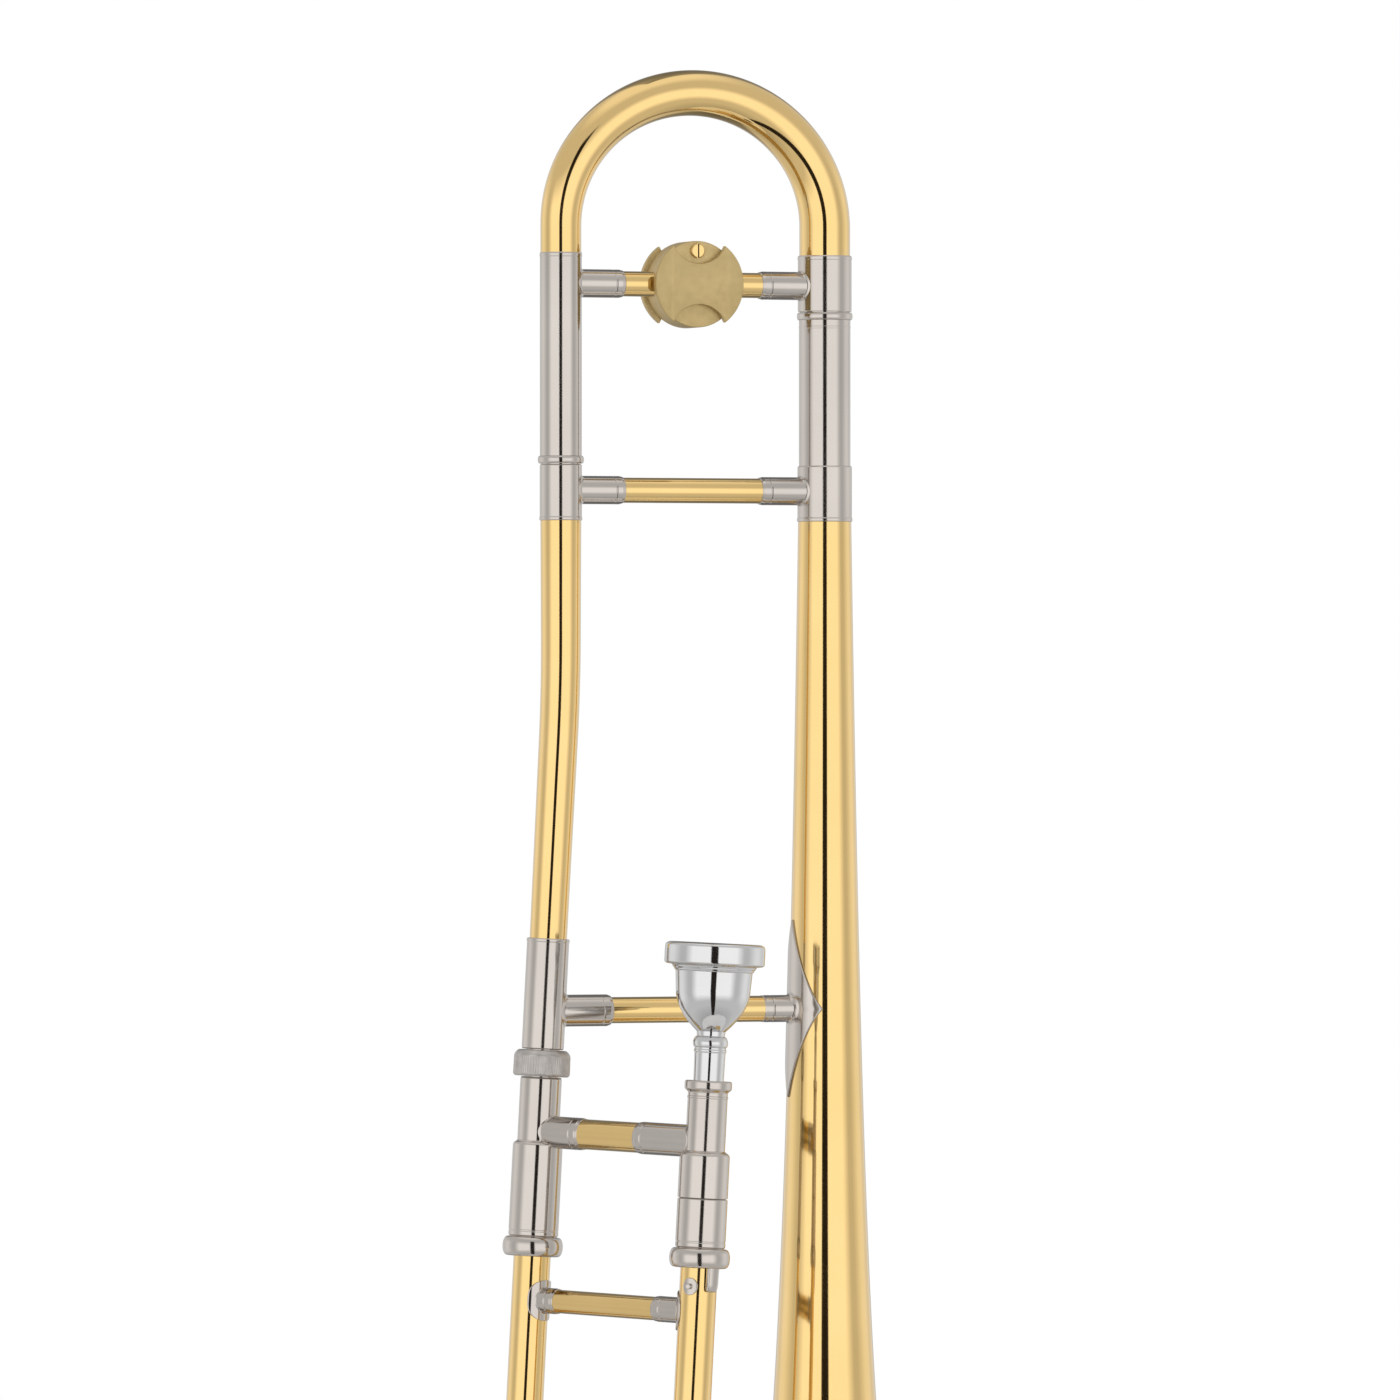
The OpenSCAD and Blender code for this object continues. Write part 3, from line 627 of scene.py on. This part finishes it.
def counterweight():
    """Two scooped plates on a round body, with a plain slotted clamp screw in the top scoop."""
    body = "tuning_slide"
    centre = middle("counterweight_core")
    core_r, core_half, plate = 17, 6.5, 3
    shape = scooped_disc()
    count = len(shape)
    for name, near in (("counterweight_front", -core_half - plate), ("counterweight_rear", core_half)):
        far = near + plate
        rings = []
        for y, inset in ((near, 0.45), (near + 0.12, 0.15), (near + 0.4, 0),
                         (far - 0.4, 0), (far - 0.12, 0.15), (far, 0.45)):
            rings.append([(p.x, y * MM, p.y) for p in inset_outline(shape, inset * MM)])
        last = (len(rings) - 1) * count
        faces = [list(range(count))[::-1], [last + j for j in range(count)]] + ring_faces(len(rings), count)
        mesh = mesh_from(name + "_plate", [point for ring in rings for point in ring], faces)
        finish_piece(name + "_plate", mesh, body, "matte_brass", (name,), Matrix.Translation(centre), 30)
    lay = Matrix.Translation(centre) @ Matrix.Rotation(math.radians(90), 4, "X")
    turned("counterweight_body", mm([(0, -core_half), (core_r, -core_half, 0.5), (core_r, core_half, 0.5),
                                     (0, core_half)]),
           body, "matte_brass", lay, ("counterweight_core",), sides=128)
    screw_at = lay @ Matrix.Translation((0, 13.1 * MM, core_half * MM))
    slotted_screw("counterweight_clamp_screw", body, "lacquered_brass", screw_at, 2.9 * MM, 1.3 * MM,
                  0.7 * MM, ("counterweight_screw",))


def inset_outline(points, inset):
    """Draws a closed outline in by the same distance all round."""
    out = []
    count = len(points)
    for i, here in enumerate(points):
        before = (here - points[i - 1]).normalized()
        after = (points[(i + 1) % count] - here).normalized()
        left = Vector((-before.y, before.x)) + Vector((-after.y, after.x))
        left.normalize()
        spread = max(0.45, left.dot(Vector((-after.y, after.x))))
        out.append(here + left * inset / spread)
    return out


def slotted_screw(name, body, slot, matrix, radius, height, slot_width, replaces=()):
    """A domed screw head on the XY plane, cut by one straight slot."""
    mesh = bpy.data.meshes.new(name)
    edit = bmesh.new()
    sides, bands = 48, 7
    rings = []
    dome = [(0.55 + 0.45 * math.sin(t), 1 - 0.22 * (1 - math.cos(t)))
            for t in (math.radians(90 * k / bands) for k in range(1, bands + 1))]
    for z_part, r_part in [(0, 1), (0.55, 1)] + dome:
        rings.append([edit.verts.new((radius * r_part * math.cos(math.tau * j / sides),
                                      radius * r_part * math.sin(math.tau * j / sides), height * z_part))
                      for j in range(sides)])
    for a, b in zip(rings, rings[1:]):
        for j in range(sides):
            k = (j + 1) % sides
            edit.faces.new((a[j], a[k], b[k], b[j]))
    edit.faces.new(rings[-1])
    edit.faces.new(rings[0][::-1])
    edit.to_mesh(mesh)
    edit.free()
    cutter = box_mesh(name + "_slot", (slot_width, 2.4 * radius, height), (0, 0, height * 0.95))
    mesh = cut(mesh, cutter)
    return finish_piece(name, mesh, body, slot, replaces, matrix, 30)


def box_mesh(name, size, centre):
    mesh = bpy.data.meshes.new(name)
    edit = bmesh.new()
    bmesh.ops.create_cube(edit, size=1)
    bmesh.ops.scale(edit, vec=size, verts=edit.verts)
    bmesh.ops.translate(edit, vec=centre, verts=edit.verts)
    edit.to_mesh(mesh)
    edit.free()
    return mesh


def cut(mesh, cutter):
    """Cuts one mesh out of another and gives back the new mesh."""
    first = bpy.data.objects.new("cut_a", mesh)
    second = bpy.data.objects.new("cut_b", cutter)
    for item in (first, second):
        bpy.context.scene.collection.objects.link(item)
    tool = first.modifiers.new("cut", "BOOLEAN")
    tool.operation, tool.object, tool.solver = "DIFFERENCE", second, "EXACT"
    graph = bpy.context.evaluated_depsgraph_get()
    result = bpy.data.meshes.new_from_object(first.evaluated_get(graph))
    for item in (first, second):
        bpy.data.objects.remove(item)
    result.name = mesh.name + "_cut"
    return result


def tuning_slide():
    body = "tuning_slide"
    bow()
    turned("bow_left_sleeve_turned", mm([
        (7.75, 551.3), (8.2, 551.3, 0.05), (8.2, 629.2, 0.1), (8.32, 629.5, 0.1), (8.32, 630.6, 0.2),
        (8.1, 631, 0.1), (7.75, 631)]), body, "nickel_silver", NECK_LEG, ("bow_left_sleeve",))
    turned("bow_left_bead", mm([(7.75, 548.3), (7.75, 551.3)])[::-1]
           + half_torus(8.25 * MM, 9.05 * MM, 548.3 * MM, 551.3 * MM), body, "nickel_silver", NECK_LEG,
           ("bow_left_ring",), radius=0)
    turned("bow_right_ferrule_turned", mm([
        (9.65, 608.9), (10.5, 608.9, 0.2), (10.6, 609.2, 0.1), (10.6, 629.2, 0.1), (10.72, 629.5, 0.1),
        (10.72, 630.6, 0.2), (10.4, 631, 0.1), (9.65, 631)]),
        body, "nickel_silver", BELL_LEG, ("bow_right_ferrule",))
    leg_sockets(body, BOW_BRACE_Z,
                ("bow_brace_left_socket", NECK_LEG, 1, BOW_SLEEVE_R, LEFT_SOCKET_REACH),
                ("bow_brace_right_socket", BELL_LEG, -1, BOW_FERRULE_R, RIGHT_SOCKET_REACH))
    counterweight()


# ---------------------------------------------------------------- hand slide

def barrel_bead():
    """The rounded bead at the foot of both barrels, from its top down."""
    return list(reversed(half_torus(9.6 * MM, 11.8 * MM, -81 * MM, -73.4 * MM)))


def inner_slide():
    body = "inner_slide"
    turned("slide_collar_turned", down([
        (6.65, 36), (8.1, 36, 0), (8.1, 11.6, 0.2), (7.8, 10.9, 0.2), (6.65, 10.9)]),
        body, "nickel_silver", SLIDE, ("slide_collar",))
    turned("left_cork_barrel_turned", down([
        (6.65, 36), (8.1, 35.6, 0.3), (8.5, 36.1, 0.4), (9.72, 37.0, 1.0), (9.75, 40, 0), (9.75, 70.6, 0.1),
        (9.62, 70.8, 0.05), (9.62, 71.2, 0.05), (9.75, 71.4, 0.1), (9.75, 72.8, 0.3), (9.2, 73.3, 0.3)])
        + barrel_bead()
        + down([(7.6, 81), (7.6, 74.5, 0.4), (8.6, 73.5, 0.3), (8.6, 40, 0.3), (6.65, 40, 0.3)]),
        body, "nickel_silver", SLIDE, ("left_cork_barrel",))
    turned("right_cork_barrel_turned", down([
        (6.65, 36), (7.75, 35.6, 0.3), (8.3, 36.1, 0.4), (9.72, 37.1, 1.0), (9.75, 40, 0), (9.75, 53.9, 0.15),
        (9.1, 54, 0.05), (9.0, 54.4, 0.05), (9.0, 78, 0.2), (8.6, 78, 0.2), (8.6, 40, 0.3), (6.65, 40, 0.3)]),
        body, "nickel_silver", RIGHT, ("right_cork_barrel",))
    shank_top = 5.95
    turned("mouthpiece_receiver_turned", down([
        (5.35, 36), (7.75, 36, 0), (7.75, 15.4, 0.1), (7.95, 15.2, 0.1), (7.95, 14.6, 0.1), (7.75, 14.4, 0.1),
        (7.75, 13.0, 0.3), (8.5, 12.3, 0.5), (9.0, 11.9, 0.3), (9.2, 11.4, 0.3), (9.2, 9.0, 0.5),
        (8.8, 8.5, 0.3), (shank_top, 8.5, 0.2), (5.35, 34.5, 0.1)]), body, "nickel_silver", RIGHT,
        ("mouthpiece_receiver",))
    for node, leg, direction, radius, reach in (
            ("inner_brace_left_socket", SLIDE, 1, COLLAR_R, 22.5 * MM),
            ("inner_brace_right_socket", RIGHT, -1, RECEIVER_R, SPACING - 49 * MM)):
        branch(node + "_turned", body, "nickel_silver", leg, direction, -INNER_BRACE, 6.3 * MM, radius,
               reach, 6.1 * MM, 5.9 * MM, (node,), fillet=0.5 * MM)
    turned("slide_lock_ring_turned", down([
        (9.05, 54.3), (9.6, 54.3, 0.2), (9.75, 54.6, 0.15), (9.75, 70.6, 0.1), (9.62, 70.8, 0.05),
        (9.62, 71.2, 0.05), (9.75, 71.4, 0.1), (9.75, 72.8, 0.3), (9.2, 73.3, 0.3)])
        + barrel_bead()
        + down([(7.6, 81), (7.6, 78.4, 0.3), (9.05, 78.3, 0.3)]),
        "slide_lock", "nickel_silver", RIGHT, ("slide_lock_ring",))
    lock_tab()


def mouthpiece():
    """Rim band, undercut step, round cup, turned beads below it, tapered shank."""
    rim_station = -45.0

    def at(r, depth, own=0.3):
        return r, rim_station + depth, own

    rim = [at(13.6, 0.3, 0.8), at(15.2, 0.0, 1.2), at(17.9, 0.0, 1.0), at(19.4, 0.9, 1.3), at(19.5, 3.0, 0.4),
           at(19.5, 8.0, 0.7), at(18.7, 8.6, 0.4), at(16.5, 8.9, 0.4), at(16.2, 9.6, 0.25),
           at(15.6, 10.3, 0.4), at(15.4, 10.9, 0.2), at(14.95, 11.1, 0.25), at(14.85, 13, 1)]
    # The outside of the cup is a parabola, from below the step under the rim to the neck
    cup_r, neck_r, shoulder, neck_depth, steps = 14.5, 5.6, 18.0, 34.4, 28
    cup = [at(neck_r + (cup_r - neck_r) * (1 - t * t), shoulder + t * (neck_depth - shoulder), 0)
           for t in (i / steps for i in range(steps + 1))]
    shank = [at(5.4, 36.2, 0.3), at(6.2, 36.7, 0.25), at(6.6, 37.6, 0.4), at(6.9, 38.8, 0.7),
             at(6.6, 40.2, 0.4), at(6.1, 40.6, 0.2), at(6.1, 41.3, 0.15), at(6.35, 41.6, 0.15),
             at(6.35, 42.2, 0.2), at(6.05, 42.6, 0.2), at(6.0, 45, 1), at(5.9, 53.5, 0.5),
             at(5.25, 79.5, 0.2)]
    inside = [at(4.9, 79.5, 0.2), at(3.25, 35, 3), at(3.25, 25, 1.5), at(6.0, 21, 2), at(9.4, 16, 2.5),
              at(11.6, 9, 3), at(12.6, 1.6, 0.9)]
    outline = supported(soften(down(rim + cup + shank + inside), 0.3 * MM, steps=6))
    finish_piece("mouthpiece_turned", lathe("mouthpiece_turned", outline, sides=144), "mouthpiece",
                 "bright_plate", ("mouthpiece",), RIGHT, smooth_angle=40)


def outer_slide():
    body = "outer_slide"
    saddle_half, saddle_half_angle = 8 * MM, math.radians(62)
    for side, leg, direction, reach in (("left", SLIDE, 1, 14 * MM), ("right", RIGHT, -1, SPACING - 61 * MM)):
        facing = 0 if direction > 0 else math.pi
        patch(side + "_outer_saddle_plate", body, "nickel_silver", leg, lambda z: OUTER_R,
              lambda w: saddle_half_angle * math.sqrt(max(0, 1 - abs(w) ** 3)),
              -OUTER_BRACE - saddle_half, -OUTER_BRACE + saddle_half, 0.7 * MM, facing,
              (side + "_outer_saddle",))
        branch(side + "_outer_socket_turned", body, "nickel_silver", leg, direction, -OUTER_BRACE, 5.05 * MM,
               OUTER_R + 0.5 * MM, reach, 4.9 * MM, 4.6 * MM, (), fillet=0.8 * MM)
    lock_lug()
    for side, leg in (("left", SLIDE), ("right", RIGHT)):
        turned(side + "_crook_ferrule_turned", down([
            (7.25, 673), (7.9, 673, 0.2), (8.2, 673.3, 0.15), (8.2, 674.2, 0.15), (8.05, 674.5, 0.1),
            (8.05, 697.5, 0.1), (8.2, 697.8, 0.15), (8.2, 698.7, 0.15), (7.9, 699, 0.2), (7.25, 699)]),
            body, "nickel_silver", leg, (side + "_crook_ferrule",))
    crook()
    between_tubes = SLIDE @ Matrix.Translation((CROOK_R, 0, 0))
    turned("bumper_cap_turned", down([
        (0, 745.5, 0), (6.6, 745.5, 0.6), (7.2, 746.2, 0.6), (7.2, 750.6, 0.3), (7.5, 750.9, 0.2),
        (7.5, 751.8, 0.3), (7.1, 752.25, 0.2), (0, 752.25, 0)]),
        body, "nickel_silver", between_tubes, ("bumper_cap",))
    turned("bumper_rubber_turned", down([
        (0, 758.25, 0), (4.8, 758.25, 0.8), (6.4, 756.9, 1.4), (6.4, 753.4, 0.4), (6.1, 752.25, 0.4),
        (0, 752.25, 0)]),
        body, "rubber", between_tubes, ("bumper_rubber",))


def crook():
    """The half circle at the foot of the slide, with a short straight lead into each ferrule."""
    steps, lead = 80, 14 * MM

    def station(a):
        inward = Vector((math.cos(a), 0, math.sin(a)))
        return Vector((CROOK_R, 0, -TUBE_END)) - inward * CROOK_R, inward, OUTER_R

    stations = [(Vector((0, 0, -TUBE_END + lead)), Vector((1, 0, 0)), OUTER_R)]
    stations += [station(math.pi * k / steps) for k in range(steps + 1)]
    stations.append((Vector((SPACING, 0, -TUBE_END + lead)), Vector((-1, 0, 0)), OUTER_R))
    swept_piece("crook_tube", "outer_slide", "lacquered_brass", "crook", stations, 0.45 * MM, SLIDE)


# Directions round the mouthpiece tube, from the side away from the other tube
LOCK_TAB_AT = math.radians(-18)
LOCK_LUG_AT = math.radians(-80)


def lock_lug():
    """A post on a small rounded plate, which the lock ring's tab turns towards."""
    station, half, half_angle = 88.2 * MM, 3.4 * MM, math.radians(24)
    patch("lock_lug_plate", "outer_slide", "nickel_silver", RIGHT, lambda z: OUTER_R,
          lambda w: half_angle * math.sqrt(max(0, 1 - w * w)), -station - half, -station + half,
          0.6 * MM, LOCK_LUG_AT, ("lock_lug",), rows=28, columns=28)
    post = (RIGHT @ Matrix.Rotation(LOCK_LUG_AT, 4, "Z") @ Matrix.Translation((0, 0, -station))
            @ Matrix.Rotation(math.radians(90), 4, "Y"))
    turned("lock_lug_post", mm([(0, 7.3, 0), (1.15, 7.3, 0), (1.15, 9.6, 0.4), (0, 9.6, 0)]),
           "outer_slide", "nickel_silver", post, (), sides=32, closed=False)


def lock_tab():
    """The rounded tab that hangs from the lock ring's bead."""
    inner, nudge, half = 8.1 * MM, math.radians(-0.5), math.radians(16)
    tip_from, tip_lift = -86 * MM, 1.6 * MM
    outline = soften(down([(8.1, 79, 0), (10.8, 79, 0), (10.35, 82.5, 2.0), (10.25, 87.6, 1.5),
                           (9.6, 90, 1.0), (8.1, 90.2, 0.4)]), 0.4 * MM, steps=6)
    columns, count = 20, len(outline)
    verts = []
    for j in range(columns + 1):
        u = 2 * j / columns - 1
        round_side = math.sqrt(max(0, 1 - abs(u) ** 6))
        a = nudge + math.copysign(abs(u) ** 0.8, u) * half
        for r, z in outline:
            r_here = inner + (r - inner) * (0.25 + 0.75 * round_side)
            z_here = z if z > tip_from else z + (1 - round_side) * tip_lift
            verts.append((r_here * math.cos(a), r_here * math.sin(a), z_here))
    faces = ring_faces(columns + 1, count)
    faces += [list(range(count)), [columns * count + i for i in range(count)][::-1]]
    finish_piece("slide_lock_tab", mesh_from("slide_lock_tab", verts, faces), "slide_lock", "nickel_silver",
                 (), RIGHT @ Matrix.Rotation(LOCK_TAB_AT, 4, "Z"), 40)


# ---------------------------------------------------------------- water key

def key_matrix():
    """The key's frame: the origin on its pivot, the finger end up +Z, the tube on the +Y side."""
    joint = joints["water_key_press"]
    across = -Vector(joint["axis"]).normalized()
    toward = SLIDE.to_3x3() @ Vector((0, 1, 0))
    along = across.cross(toward)
    matrix = Matrix((across, toward, along)).transposed().to_4x4()
    matrix.translation = Vector(joint["pos_m"])
    return matrix


def water_key():
    frame_matrix = key_matrix()
    reach = 20 * MM
    toward_tube = (frame_matrix @ Matrix.Translation((0, 0, -reach))
                   @ Matrix.Rotation(math.radians(-90), 4, "X"))
    turned("water_key_nipple_turned", mm([
        (1.6, 1.9), (2.6, 1.9, 0.2), (3.0, 2.3, 0.3), (3.0, 5.0, 0.3), (3.4, 6.4, 0.8), (3.4, 6.9, 0),
        (1.6, 6.9)]), "outer_slide", "nickel_silver", toward_tube, ("water_key_nipple",), sides=64)
    turned("water_key_cork_pad", mm([
        (0, -0.4, 0), (3.6, -0.4, 0.3), (3.7, 0.4, 0.4), (3.6, 1.6, 0.4), (0, 1.6, 0)]),
        "water_key", "cork", toward_tube, ("water_key_cork",), sides=64)
    lever(frame_matrix, toward_tube)
    spring(frame_matrix)


def lever(frame_matrix, toward_tube):
    """The forged arm: a cup over the cork, a barrel on the pin, a finger end that curves away."""
    rows, sides = 40, 16
    finger = math.radians(14)
    arm_y, thick = -1.15 * MM, 0.75 * MM
    verts = []
    for i in range(rows + 1):
        t = i / rows
        z = (-17.0 + t * 40.0) * MM
        lean = 0 if z < 0 else z * math.tan(finger) * (z / (z + 3 * MM))
        y = arm_y - lean
        waist = 1.5 + 0.9 * abs(t - 0.42) ** 1.6
        for k in range(sides):
            a = math.tau * k / sides
            x = math.copysign(abs(math.cos(a)) ** 0.7, math.cos(a)) * waist * MM
            depth = math.copysign(abs(math.sin(a)) ** 0.8, math.sin(a)) * thick
            verts.append((x, y + depth, z))
    faces = ring_faces(rows + 1, sides)
    faces += [list(range(sides))[::-1], [rows * sides + k for k in range(sides)]]
    finish_piece("water_key_arm", mesh_from("water_key_arm", verts, faces), "water_key", "nickel_silver",
                 ("water_key_lever",), frame_matrix, 50)
    turned("water_key_cup", mm([
        (0, -2.1, 0), (3.4, -2.1, 0.5), (4.2, -1.4, 0.4), (4.2, 0.2, 0.15), (3.8, 0.2, 0.1), (3.8, -0.4, 0.1),
        (0, -0.4, 0)]), "water_key", "nickel_silver", toward_tube, (), sides=64)
    across = frame_matrix @ Matrix.Rotation(math.radians(90), 4, "Y")
    turned("water_key_barrel", mm([(0.85, -2.5), (1.9, -2.5, 0.3), (1.9, 2.5, 0.3), (0.85, 2.5)]),
           "water_key", "nickel_silver", across, (), sides=48)
    pad = (frame_matrix @ Matrix.Rotation(finger, 4, "X") @ Matrix.Translation((0, arm_y, 25 * MM))
           @ Matrix.Rotation(math.radians(90), 4, "X"))
    turned("water_key_finger_pad", mm([
        (0, -0.75, 0), (4.4, -0.75, 0.4), (5.0, 0.0, 0.5), (4.5, 0.75, 0.4), (2.5, 0.6, 1.0), (0, 0.45, 0)]),
        "water_key", "nickel_silver", pad, (), sides=64)


def spring(frame_matrix):
    """A coil on the pin at each side of the arm, with one end resting on the tube."""
    wire, coil, coils, steps = 0.3 * MM, 2.3 * MM, 1.75, 56
    for name, side in (("left", -1), ("right", 1)):
        turns = [Vector((side * (2.05 + 0.62 * k / steps) * MM, coil * math.sin(a), coil * math.cos(a)))
                 for k, a in ((k, math.tau * coils * k / steps) for k in range(steps + 1))]
        tube_end = [turns[-1] + Vector((0, 0.9 * MM * k, -1.4 * MM * k)) for k in (1, 2)]
        wire_piece("water_key_spring_" + name, turns + tube_end, wire, frame_matrix)


def wire_piece(name, path, radius, matrix, sides=12):
    """A round wire along a path, of steel and on the water key."""
    verts = []
    normal = None
    for i, here in enumerate(path):
        along = (path[min(i + 1, len(path) - 1)] - path[max(i - 1, 0)]).normalized()
        normal = along.orthogonal() if normal is None else normal - along * normal.dot(along)
        normal.normalize()
        other = along.cross(normal)
        for k in range(sides):
            a = math.tau * k / sides
            verts.append(here + (normal * math.cos(a) + other * math.sin(a)) * radius)
    faces = ring_faces(len(path), sides)
    last = (len(path) - 1) * sides
    faces += [list(range(sides))[::-1], [last + k for k in range(sides)]]
    finish_piece(name, mesh_from(name, verts, faces), "water_key", "steel", (), matrix, 60)


bell_section()
lock_nut()
tuning_slide()
inner_slide()
mouthpiece()
outer_slide()
water_key()


# ---------------------------------------------------------------- finishes of the CAD nodes that stay

for part in frame["record"]["subparts"]:
    node = frame["nodes"][part["node"]]
    node.data.materials.clear()
    node.data.materials.append(MATERIALS[part["material_slot"]])
    node.data.polygons.foreach_set("use_smooth", [True] * len(node.data.polygons))
    node.data.set_sharp_from_angle(angle=math.radians(30))


# ---------------------------------------------------------------- floor, light and camera

# The camera stands in front and to the left, turned by VIEW_TURN, almost level, with a long lens
VIEW_TURN = math.radians(20.826)
VIEW_RISE = math.radians(0.025)
VIEW_AWAY = 4.750
LENS, SENSOR = 310.5, 36.0
TARGET = Vector((-0.05269, 0, 0.45567))


def floor():
    """A pale round floor just under the foot of the slide."""
    radius = 0.45
    z = cad_box[0][2] - 0.4 * MM
    mesh = bpy.data.meshes.new("floor")
    edit = bmesh.new()
    bmesh.ops.create_circle(edit, cap_ends=True, radius=radius, segments=128)
    bmesh.ops.translate(edit, vec=(0, 0, z), verts=edit.verts)
    edit.to_mesh(mesh)
    edit.free()
    piece = bpy.data.objects.new("floor", mesh)
    bpy.context.scene.collection.objects.link(piece)
    material, tree, shader = new_material("pale_floor")
    tree.links.new(ramp(tree, noise(tree, 3, 4), [(0.3, 0.80), (0.7, 0.84)]), shader.inputs["Base Color"])
    shader.inputs["Roughness"].default_value = 0.8
    mesh.materials.append(material)


def math_node(tree, operation, *values):
    """A math node whose inputs are numbers or other nodes' outputs."""
    node = tree.nodes.new("ShaderNodeMath")
    node.operation = operation
    for socket, value in zip(node.inputs, values):
        if isinstance(value, (int, float)):
            socket.default_value = value
        else:
            tree.links.new(value, socket)
    return node.outputs[0]


# Brightness of the parts of the studio that the polished tubes show, from ahead round to behind
FRONT_CARDS = 0.97
SIDE_GAP = 0.52
SIDE_CARDS = 0.77
REAR_WALL = 0.62
BEHIND = 0.30
# The same, for what lies well below or above the object
LOW_WALL = 0.36
HIGH_WALL = 0.55
CEILING = 0.79
SLIT = (0.018, 0.015, 0.013, 1)
WHITE = (1.0, 1.0, 1.0, 1)
STUDIO_LEVEL = 1.38     # how much brighter all of this is than the white that the camera sees


def overhead():
    """A soft light above, to lift the floor. Only the studio shows in the polished metal."""
    data = bpy.data.lights.new("overhead", "AREA")
    data.shape, data.size, data.energy = "DISK", 1.6, 16
    item = bpy.data.objects.new("overhead", data)
    item.location = (-0.05, 0, 1.7)
    item.visible_glossy = False
    bpy.context.scene.collection.objects.link(item)


def studio():
    """A round white studio. The dark slit is the gap that the photographer stands in, with soft
    cards left and right of it. Brightness depends on the direction round the object (0 to 1 for
    0 to 180 degrees from the slit) and on the height. The camera itself sees plain white."""
    world = bpy.data.worlds.new("studio")
    bpy.context.scene.world = world
    world.use_nodes = True
    tree = world.node_tree
    tree.nodes.clear()
    coords = tree.nodes.new("ShaderNodeTexCoord")
    split = tree.nodes.new("ShaderNodeSeparateXYZ")
    turn = tree.nodes.new("ShaderNodeVectorRotate")
    turn.rotation_type = "Z_AXIS"
    turn.inputs["Angle"].default_value = VIEW_TURN
    tree.links.new(coords.outputs["Generated"], turn.inputs["Vector"])
    tree.links.new(turn.outputs["Vector"], split.inputs["Vector"])
    x, y, z = split.outputs
    # After the turn the slit stands at -Y and the image's right is +X
    round_slit = math_node(tree, "ARCTAN2", x, math_node(tree, "MULTIPLY", y, -1.0))
    away = math_node(tree, "DIVIDE", math_node(tree, "ABSOLUTE", round_slit), math.pi)
    rise = math_node(tree, "DIVIDE", math_node(tree, "ARCSINE", z), math.pi / 2)
    height = math_node(tree, "MULTIPLY_ADD", rise, 0.5, 0.5)

    def at(degrees):
        return degrees / 180

    band = ramp(tree, away, [
        (at(0), FRONT_CARDS), (at(52), FRONT_CARDS), (at(72), SIDE_GAP), (at(84), SIDE_GAP),
        (at(108), SIDE_CARDS), (at(122), SIDE_CARDS), (at(136), REAR_WALL), (at(152), REAR_WALL),
        (at(176), BEHIND)])

    def up(degrees):
        return 0.5 + degrees / 180

    dome = ramp(tree, height, [
        (up(-70), LOW_WALL), (up(-42), HIGH_WALL), (up(52), HIGH_WALL), (up(70), CEILING)])
    behind = ramp(tree, away, [(at(146), 1.0), (at(158), 0.36), (at(180), 0.26)])
    near_level = ramp(tree, height, [(up(-31), 0.0), (up(-14), 1.0), (up(11), 1.0), (up(27), 0.0)])
    slit_side = ramp(tree, away, [(at(7.6), 1.0), (at(9.0), 0.0)])
    slit_height = ramp(tree, height, [(up(31), 1.0), (up(36), 0.0)])

    def mix(factor, a, b):
        node = tree.nodes.new("ShaderNodeMix")
        node.data_type = "RGBA"
        tree.links.new(factor, node.inputs[0])
        for socket, value in ((node.inputs[6], a), (node.inputs[7], b)):
            if isinstance(value, tuple):
                socket.default_value = value
            else:
                tree.links.new(value, socket)
        return node.outputs[2]

    def multiply(a, b):
        node = tree.nodes.new("ShaderNodeVectorMath")
        node.operation = "MULTIPLY"
        tree.links.new(a, node.inputs[0])
        tree.links.new(b, node.inputs[1])
        return node.outputs[0]

    slit = math_node(tree, "MULTIPLY", slit_side, slit_height)
    lit = mix(near_level, multiply(dome, behind), band)
    direct = tree.nodes.new("ShaderNodeLightPath").outputs["Is Camera Ray"]
    shown = mix(direct, mix(slit, lit, SLIT), WHITE)
    strength = math_node(tree, "MULTIPLY_ADD", direct, 1 - STUDIO_LEVEL, STUDIO_LEVEL)
    background = tree.nodes.new("ShaderNodeBackground")
    tree.links.new(strength, background.inputs["Strength"])
    output = tree.nodes.new("ShaderNodeOutputWorld")
    tree.links.new(shown, background.inputs["Color"])
    tree.links.new(background.outputs["Background"], output.inputs["Surface"])


def camera():
    """Stands VIEW_AWAY metres from the target."""
    level = math.cos(VIEW_RISE)
    look = Vector((math.sin(VIEW_TURN) * level, math.cos(VIEW_TURN) * level, -math.sin(VIEW_RISE)))
    data = bpy.data.cameras.new("camera")
    data.sensor_width = SENSOR
    data.lens = LENS
    data.clip_end = 30
    item = bpy.data.objects.new("camera", data)
    item.location = TARGET - look * VIEW_AWAY
    item.rotation_euler = look.to_track_quat("-Z", "Y").to_euler()
    bpy.context.scene.collection.objects.link(item)
    bpy.context.scene.camera = item


floor()
overhead()
studio()
camera()
bpy.context.scene.view_settings.view_transform = "Standard"
